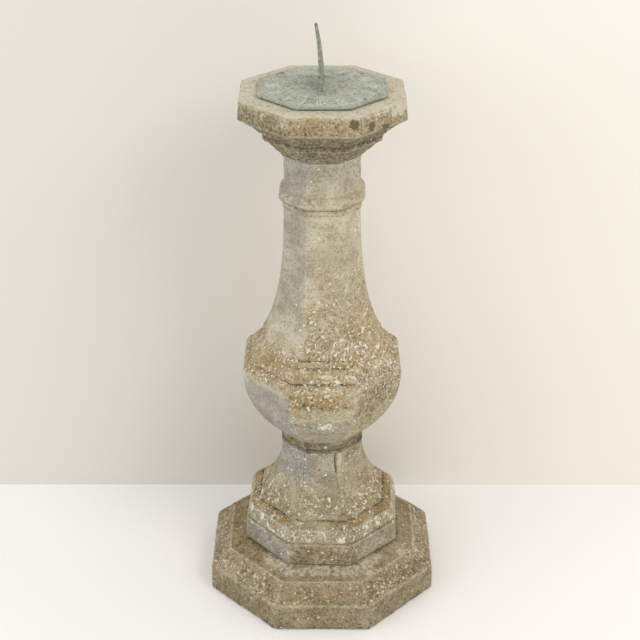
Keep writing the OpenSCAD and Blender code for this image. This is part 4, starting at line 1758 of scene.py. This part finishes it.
@dataclass(frozen=True)
class DialLayout:
    """Where the hour lines and numerals of a flat dial stand, in millimetres."""

    latitude: float = 52.0
    toe: float = 61.0
    first_hour: int = -7
    last_hour: int = 7
    outer_ring: float = 96.0
    second_ring: float = 91.0
    inner_ring: float = 57.0
    line_start: float = 46.0
    line_end: float = 65.0
    line_width: float = 1.6
    tick: float = 7.0
    fine_width: float = 0.9
    numeral_middle: float = 78.5
    numeral_height: float = 21.0
    numeral_width: float = 20.0
    stroke: float = 2.2
    serif: float = 1.7
    side_gap: float = 1.2

    def _direction(self, hour: float) -> Place:
        """The way an hour line runs from the toe.

        Args:
            hour: Hours after noon.

        Returns:
            A unit step along X and Y.
        """
        angle = math.radians(15 * hour)
        turn = math.atan2(math.sin(math.radians(self.latitude)) * math.sin(angle), math.cos(angle))
        return -math.sin(turn), -math.cos(turn)

    def _meets(self, hour: float, radius: float) -> Place:
        """Where an hour line meets a circle round the middle of the dial.

        Args:
            hour: Hours after noon.
            radius: The circle's radius.

        Returns:
            The place on the dial.
        """
        dx, dy = self._direction(hour)
        along = dy * self.toe
        far = -along + math.sqrt(max(along * along - self.toe**2 + radius**2, 0))
        return dx * far, self.toe + dy * far

    def _bar(self, start: Place, end: Place, width: float) -> Stroke:
        """A stroke from one place to another.

        Args:
            start: Where it starts.
            end: Where it ends.
            width: How wide it is.

        Returns:
            The stroke.
        """
        dx, dy = end[0] - start[0], end[1] - start[1]
        middle = ((start[0] + end[0]) / 2, (start[1] + end[1]) / 2)
        return Stroke(*middle, math.atan2(dy, dx), math.hypot(dx, dy), width)

    def _numeral(self, text: str, hour: int) -> list[Stroke]:
        """The strokes of one numeral, its top away from the middle of the dial.

        Args:
            text: The numeral.
            hour: Which hour it stands at.

        Returns:
            Its strokes.
        """
        wide = {"I": 4.6, "V": 10.5, "X": 11.0}
        x0, y0 = self._meets(hour, self.numeral_middle)
        dx, dy = self._direction(hour)
        reach = math.hypot(x0, y0)
        ux, uy = (x0 / reach + dx) / 2, (y0 / reach + dy) / 2
        size = math.hypot(ux, uy)
        ux, uy = ux / size, uy / size
        total = sum(wide[letter] for letter in text)
        squeeze = min(1.0, self.numeral_width / total)
        tall = self.numeral_height / 2
        plain, heavy, light = self.stroke * 1.15, self.stroke * 1.25, self.stroke * 0.8
        strokes, pen = [], -total / 2

        def at(across: float, up: float) -> Place:
            """A place in the numeral's own frame."""
            return x0 + uy * across * squeeze + ux * up, y0 - ux * across * squeeze + uy * up

        for letter in text:
            left, right = pen + self.side_gap, pen + wide[letter] - self.side_gap
            middle = pen + wide[letter] / 2
            if letter == "I":
                lines = [(middle, middle, plain)]
                feet = [(middle, -tall), (middle, tall)]
            elif letter == "V":
                lines = [(left, middle, heavy), (right, middle, light)]
                feet = [(left, tall), (right, tall)]
            else:
                lines = [(left, right, heavy), (right, left, light)]
                feet = [(left, tall), (right, tall), (left, -tall), (right, -tall)]
            for above, below, width in lines:
                ends = (at(above, tall), at(below, -tall))
                strokes.append(self._bar(*(ends[::-1] if letter == "I" else ends), width))
            for x, y in feet:
                strokes.append(self._bar(at(x - self.serif, y), at(x + self.serif, y), self.fine_width))
            pen += wide[letter]
        return strokes

    def strokes(self) -> list[Stroke]:
        """Every raised stroke of the dial: hour lines, half-hour ticks and numerals.

        Returns:
            The strokes, hour by hour.
        """
        names = ("XII", "I", "II", "III", "IIII", "V", "VI", "VII", "VIII", "IX", "X", "XI")
        found: list[Stroke] = []
        for hour in range(self.first_hour, self.last_hour + 1):
            start, end = self._meets(hour, self.line_start), self._meets(hour, self.line_end)
            found.append(self._bar(start, end, self.line_width))
            found += self._numeral(names[hour % 12], hour)
            if hour < self.last_hour:
                start = self._meets(hour + 0.5, self.inner_ring)
                end = self._meets(hour + 0.5, self.inner_ring + self.tick)
                found.append(self._bar(start, end, self.fine_width))
        return found


@dataclass
class DialPlate(OctagonalPiece):
    """The cast bronze dial: octagonal plate, raised rings, hour lines and numerals."""

    node: str = "dial_plate"
    body: str = "head"
    slot: str = "bronze"
    finish: Finish = DIAL_FINISH
    weather: Weather = Weather(
        soften=0.45, arris=3.0, sway=0.15, rough=0.08, chips=0.25, pit_depth=0.1, grit=0.03
    )
    columns: int = 24
    pitch: float = 0.7
    seed: int = 73
    layout: DialLayout = DialLayout()
    underside: float = 95.0
    face: float = 94.0
    sunk: float = 0.6  # how far the rings and screws start below the top of the CAD plate
    ring_width: float = 1.2
    ring_height: float = 0.55

    def inner_start(self) -> Path:
        """The flat underside."""
        return octagons(self.bottom, AXIS, self.underside)

    def inner_end(self) -> Path:
        """The upper face."""
        return octagons(self.top, self.face, AXIS)

    def build(self) -> Object:
        """Makes the plate and casts its raised lines into it.

        Returns:
            The finished piece.
        """
        plate = super().build()
        strokes = self.layout.strokes()
        lines = self._lines(strokes, plate.data.vertices[-1].co.z)
        bpy.ops.object.select_all(action="DESELECT")
        lines.select_set(True)
        plate.select_set(True)
        bpy.context.view_layer.objects.active = plate
        bpy.ops.object.join()
        LOG.info("%s: %d strokes cast on", plate.name, len(strokes))
        return plate

    def _bar(self, work: Repeater) -> Socket:
        """One stroke a metre in size, narrower and rounder at its top.

        Args:
            work: The tree that the stroke belongs to.

        Returns:
            The stroke's geometry.
        """
        graph = work.graph
        steps = {"Vertices X": 6, "Vertices Y": 4, "Vertices Z": 3}
        cube = graph.out("GeometryNodeMeshCube", {"Size": (1, 1, 1), **steps})
        x, y, z = graph.add("ShaderNodeSeparateXYZ", {0: graph.out("GeometryNodeInputPosition")}).outputs
        narrower = graph.minus(1.0, graph.times(graph.math("ADD", z, 0.5), 0.32))
        corner = graph.times(graph.math("ABSOLUTE", y), 0.25)
        lower = graph.times(corner, graph.math("GREATER_THAN", z, 0.4))
        formed = work.triple(x, graph.times(y, narrower), graph.minus(z, lower))
        return graph.out("GeometryNodeSetPosition", {"Geometry": cube, "Position": formed})

    def _lines(self, strokes: list[Stroke], level: float) -> Object:
        """The strokes on the plate and the rings round its middle.

        Args:
            strokes: The strokes to cast on.
            level: The height of the upper face in metres.

        Returns:
            All the lines as one plain object.
        """
        rings = {"Outer Ring": self.layout.outer_ring * MM, "Second Ring": self.layout.second_ring * MM}
        rings["Inner Ring"] = self.layout.inner_ring * MM
        sizes = {"Ring Width": self.ring_width * MM, "Ring Height": self.ring_height * MM}
        sizes["Level"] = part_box(self.node)[1][2] - self.sunk * MM
        work = Repeater("raised_lines", rings | sizes | {"Material": LETTER_FINISH.material()})
        graph, given = work.graph, work.given
        sides = [graph.times(work.number(label), MM) for label in ("length", "width", "height")]
        parts = [work.repeat(self._bar(work), work.triple(*sides))]
        section = {
            "Bottom Width": graph.times(given["Ring Height"], 2.0),
            "Top Width": graph.times(given["Ring Height"], 1.5),
            "Height": given["Ring Width"],
            "Offset": 0.0,
        }
        profile = graph.out("GeometryNodeCurvePrimitiveQuadrilateral", section, mode="TRAPEZOID")
        for label in rings:
            circle = graph.out("GeometryNodeCurvePrimitiveCircle", {"Resolution": 96, "Radius": given[label]})
            tube = graph.out("GeometryNodeCurveToMesh", {0: circle, 1: profile})
            moved = {"Geometry": tube, "Translation": work.triple(z=given["Level"])}
            parts.append(graph.out("GeometryNodeTransform", moved))
        return work.grow(parts, strokes, level, "dial_lines")


@dataclass
class Gnomon:
    """The thin bronze fin that casts the shadow, hollow at its upright edge and bent at the tip."""

    body: str = "head"
    node: str = "gnomon"
    slot: str = "bronze"
    finish: Finish = GNOMON_FINISH
    length: float = 88.0
    front: float = 27.0
    latitude: float = 52.0
    foot_thick: float = 7.0
    tip_thick: float = 5.2
    hollow: float = 9.0
    tip: float = 4.0
    bend: float = 8.0
    bend_power: float = 2.2
    turn: float = -2.0
    round_over: float = 1.1
    rows: int = 90
    side_steps: int = 28
    corner_steps: int = 4
    seed: int = 71

    def _section(self, back: float, style: float, middle: float, thick: float) -> Array:
        """One level of the fin: a long rounded strip, run anticlockwise seen from above.

        Args:
            back: Where the upright edge stands along the plate.
            style: Where the sloping edge stands.
            middle: How far the fin is bent aside here.
            thick: How thick it is here.

        Returns:
            Points in millimetres in the gnomon's own frame.
        """
        bend = min(self.round_over, thick / 2 - 0.05, (style - back) / 2 - 0.05)
        half, near, far = thick / 2 - bend, back + bend, style - bend
        points: list[Place] = []
        for x, y, start in ((half, near, -90), (half, far, 0), (-half, far, 90), (-half, near, 180)):
            for angle in np.radians(start + np.linspace(0, 90, self.corner_steps + 1)):
                points.append((middle + x + bend * math.cos(angle), y + bend * math.sin(angle)))
            if start in (-90, 90):
                side, other = middle + math.copysign(half + bend, x), near + far - y
                points += [(side, y + (other - y) * k / self.side_steps) for k in range(1, self.side_steps)]
        return np.array(points)

    def _rows(self) -> Array:
        """The fin level by level.

        Returns:
            Rows of points in millimetres in the gnomon's own frame.
        """
        height = self.length * math.tan(math.radians(self.latitude))
        top = height * (1 - self.tip / self.length)
        rows = []
        for up in top * np.linspace(0, 1, self.rows):
            share = up / height
            style = self.length * (1 - share)
            back = min(self.hollow * math.sin(math.pi * share), style - self.tip)
            thick = self.foot_thick + (self.tip_thick - self.foot_thick) * share
            shrink = 0.55 * max(0.0, 1 - (top - up) / 1.2) ** 2
            aside = -self.bend * share**self.bend_power
            flat = self._section(back + shrink * 0.4, style - shrink * 0.4, aside, thick - shrink)
            rows.append(np.column_stack([flat, np.full(len(flat), up)]))
        return np.array(rows)

    def build(self) -> Object:
        """Makes the fin and puts it on the head.

        Returns:
            The finished piece.
        """
        points, grain = self._rows(), Grain(self.seed)
        dents = 0.22 * grain.rough(points, 14, 3) + 0.12 * grain.smooth(points, 3.5) - 0.35
        dents = np.minimum(dents, 0) * ramp(points[..., 2], 0, 2)
        points = points + surface_normals(points, False) * dents[..., None]
        points[..., 1] -= self.length
        cos, sin = math.cos(math.radians(self.turn)), math.sin(math.radians(self.turn))
        points = points @ np.array([[cos, sin, 0], [-sin, cos, 0], [0, 0, 1]])
        points[..., 1] += self.length - self.front
        points = points * MM + np.array([0, 0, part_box(self.node)[0][2]])
        piece = shell("gnomon_worn", inside_box(points, self.node), Ends.POINTED)
        return put_on(piece, self.body, self.node, self.finish)


@dataclass
class DialScrews:
    """The four round-head brass screws through the plate."""

    body: str = "head"
    node: str = "dial_screws"
    slot: str = "brass"
    circle: float = 92.0
    sunk: float = 0.6
    turns: tuple[float, ...] = (0.4, 1.9, 2.7, 1.1)
    head: float = 7.0
    head_high: float = 2.4
    shank: float = 3.5
    slot_wide: float = 1.1
    slot_deep: float = 1.1
    facets: int = 24

    def _pattern(self, seat: float) -> Object:
        """One screw, its head's seat at the origin.

        Args:
            seat: The height in metres that the seat will have.

        Returns:
            The screw as a plain object.
        """
        deep = (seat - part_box(self.node)[0][2]) / MM
        half, shank, rim = self.head / 2, self.shank / 2, 0.5
        outline = [(0.3, -deep), (shank - 0.4, -deep), (shank, -deep + 0.6)]
        outline += [(shank, -deep * k / 8) for k in range(7, -1, -1)]
        outline += [(half - 0.1, 0.0), (half, 0.15), (half, rim)]
        dome = np.radians([18, 36, 54, 72, 86])
        outline += [(half * math.cos(a), rim + (self.head_high - rim) * math.sin(a)) for a in dome]
        angles = np.arange(self.facets) / self.facets * 2 * math.pi
        rows = np.array([[(r * math.cos(a), r * math.sin(a), z) for a in angles] for r, z in outline]) * MM
        screw = shell("screw_pattern", rows, Ends.POINTED)
        bpy.ops.mesh.primitive_cube_add(size=1)
        tool = bpy.context.active_object
        size = Vector((self.head * 1.5, self.slot_wide, self.slot_deep * 2)) * MM
        lift = Matrix.Translation((0, 0, self.head_high * MM))
        tool.data.transform(lift @ Matrix.Diagonal((*size, 1)))
        cut = screw.modifiers.new("slot", "BOOLEAN")
        cut.operation, cut.object, cut.solver = "DIFFERENCE", tool, "EXACT"
        plain = settled(screw, "screw_pattern")
        bpy.data.objects.remove(tool)
        return plain

    def build(self) -> Object:
        """Makes the screws and puts them on the head.

        Returns:
            The finished piece.
        """
        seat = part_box("dial_plate")[1][2] - self.sunk * MM
        reach = self.circle / math.sqrt(2)
        corners = ((reach, reach), (-reach, reach), (-reach, -reach), (reach, -reach))
        marks = [Stroke(*corner, turn, 1, 1, 1) for corner, turn in zip(corners, self.turns)]
        pattern = self._pattern(seat)
        work = Repeater("screws_on_points", {"Screw": pattern, "Material": SCREW_FINISH.material()})
        shape = work.graph.add("GeometryNodeObjectInfo", {"Object": work.given["Screw"]}).outputs["Geometry"]
        piece = work.grow([work.repeat(shape)], marks, seat, "dial_screws_slotted")
        bpy.data.objects.remove(pattern)
        return put_on(piece, self.body, self.node)


# ---------------------------------------------------------------- hidden pieces


@dataclass(frozen=True)
class HiddenPieces:
    """The dowels, grout, plugs and screws inside the stones, shown as the CAD makes them."""

    looks: tuple[tuple[Finish, tuple[str, ...]], ...] = (
        (STEEL_FINISH, ("base_dowel", "core_rod")),
        (GROUT_FINISH, ("base_dowel_grout",)),
        (LEAD_FINISH, ("screw_plugs",)),
        (SCREW_FINISH, ("gnomon_screws",)),
    )

    def build(self) -> None:
        """Dresses each CAD piece that stays."""
        for finish, nodes in self.looks:
            material = finish.material()
            for node in nodes:
                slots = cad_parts[node].data.materials
                slots.clear()
                slots.append(material)
                LOG.info("%s: dressed with %s", node, finish.name)


# ---------------------------------------------------------------- floor, wall, light, camera


@dataclass
class Studio:
    """Pale floor, cream wall painted with shade at its left and light at its right, soft light from the right
    and the camera.
    """

    wall_at: float = 0.245
    stage_size: float = 8.0
    # the wall's paint runs from painted shade at the left to painted light at the right
    wall_colours_shaded_to_lit: tuple[Tint, Tint] = ((230, 226, 218), (248, 244, 236))
    floor_colours: tuple[Tint, Tint] = ((255, 254, 252), (255, 254, 252))
    key: float = 28.0
    world: float = 0.75
    focal_length: float = 77.37
    camera_place: tuple[float, float, float] = (0, -2.075, 1.600)
    camera_tilt: float = 62.23
    camera_swing: float = 0.102

    def build(self) -> None:
        """Makes the stage, the lights and the camera."""
        self._plane("floor", (0, 0, 0), 0.0, self.floor_colours)
        wall, canvas = self._plane("wall", (0, self.wall_at, 0), math.pi / 2, self.wall_colours_shaded_to_lit)
        self._only_from_front(wall, canvas)
        self._lights()
        self._camera()
        LOG.info("studio ready")

    def _plane(
        self, name: str, place: tuple[float, float, float], tilt: float, tints: tuple[Tint, Tint]
    ) -> tuple[Object, Canvas]:
        """One side of the stage, painted from one colour at its left to another at its right; on the wall the
        darker left is painted shade and the paler right painted light.

        Args:
            name: Its name.
            place: Its middle.
            tilt: How far it is turned up, in radians.
            tints: The two colours.

        Returns:
            The plane and its paint.
        """
        bpy.ops.mesh.primitive_plane_add(size=self.stage_size, location=place, rotation=(tilt, 0, 0))
        plane = bpy.context.active_object
        plane.name = name
        canvas = Canvas(name + "_paint")
        across = canvas.graph.out("ShaderNodeSeparateXYZ", {0: canvas.place})
        paint = canvas.graph.blend(canvas.graph.step(across, -0.3, 0.3), *map(colour, tints))
        canvas.feed({"Base Color": paint, "Roughness": 1.0, "Specular IOR Level": 0.0})
        plane.data.materials.append(canvas.material)
        return plane, canvas

    def _only_from_front(self, wall: Object, canvas: Canvas) -> None:
        """Makes the wall clear from behind and lets light through it.

        Args:
            wall: The wall.
            canvas: Its paint.
        """
        clear = canvas.graph.out("ShaderNodeBsdfTransparent")
        facing = canvas.graph.add("ShaderNodeNewGeometry").outputs["Backfacing"]
        both = canvas.graph.out("ShaderNodeMixShader", {0: facing, 1: canvas.shader.outputs[0], 2: clear})
        canvas.graph.feed(canvas.material.node_tree.nodes["Material Output"].inputs[0], both)
        wall.visible_shadow = False

    def _lights(self) -> None:
        """A large soft key from the front right, a cooler fill from the left and light from all round."""
        sky = bpy.data.worlds.new("studio_air")
        sky.use_nodes = True
        colour_input, strength = sky.node_tree.nodes["Background"].inputs[:2]
        colour_input.default_value, strength.default_value = (1, 1, 1, 1), self.world
        bpy.context.scene.world = sky
        for name, power, size, tint, place, aim in (
            ("key", self.key, 1.4, (1.0, 0.96, 0.9), (1.9, -1.9, 2.9), (0, 0, 0.55)),
            ("fill", self.key * 0.55, 1.8, (0.92, 0.96, 1.0), (-2.3, -1.2, 1.7), (0, 0, 0.5)),
        ):
            lamp = bpy.data.lights.new(name, "AREA")
            lamp.energy, lamp.size, lamp.color = power, size, tint
            light = link(name, lamp)
            light.location = place
            light.rotation_euler = (Vector(aim) - Vector(place)).to_track_quat("-Z", "Y").to_euler()

    def _camera(self) -> None:
        """The camera at head height, looking down at the pedestal."""
        lens = bpy.data.cameras.new("camera")
        lens.lens, lens.sensor_width = self.focal_length, 36.0
        camera = link("camera", lens)
        camera.location = self.camera_place
        camera.rotation_euler = (math.radians(self.camera_tilt), 0, math.radians(self.camera_swing))
        bpy.context.scene.camera = camera
        bpy.context.scene.view_settings.view_transform = "Standard"


# ---------------------------------------------------------------- the whole sundial


def main() -> None:
    """Builds every piece in order, from the ground up, and lights the scene."""
    logging.basicConfig(level=logging.INFO, format="%(name)s %(message)s")
    stones = (BaseSlab, FootBlock, NeckMortar, Baluster, Capital, DialBedding, DialPlate)
    for part in (*stones, Gnomon, DialScrews, HiddenPieces, Studio):
        part().build()


if __name__ == "__main__":
    main()
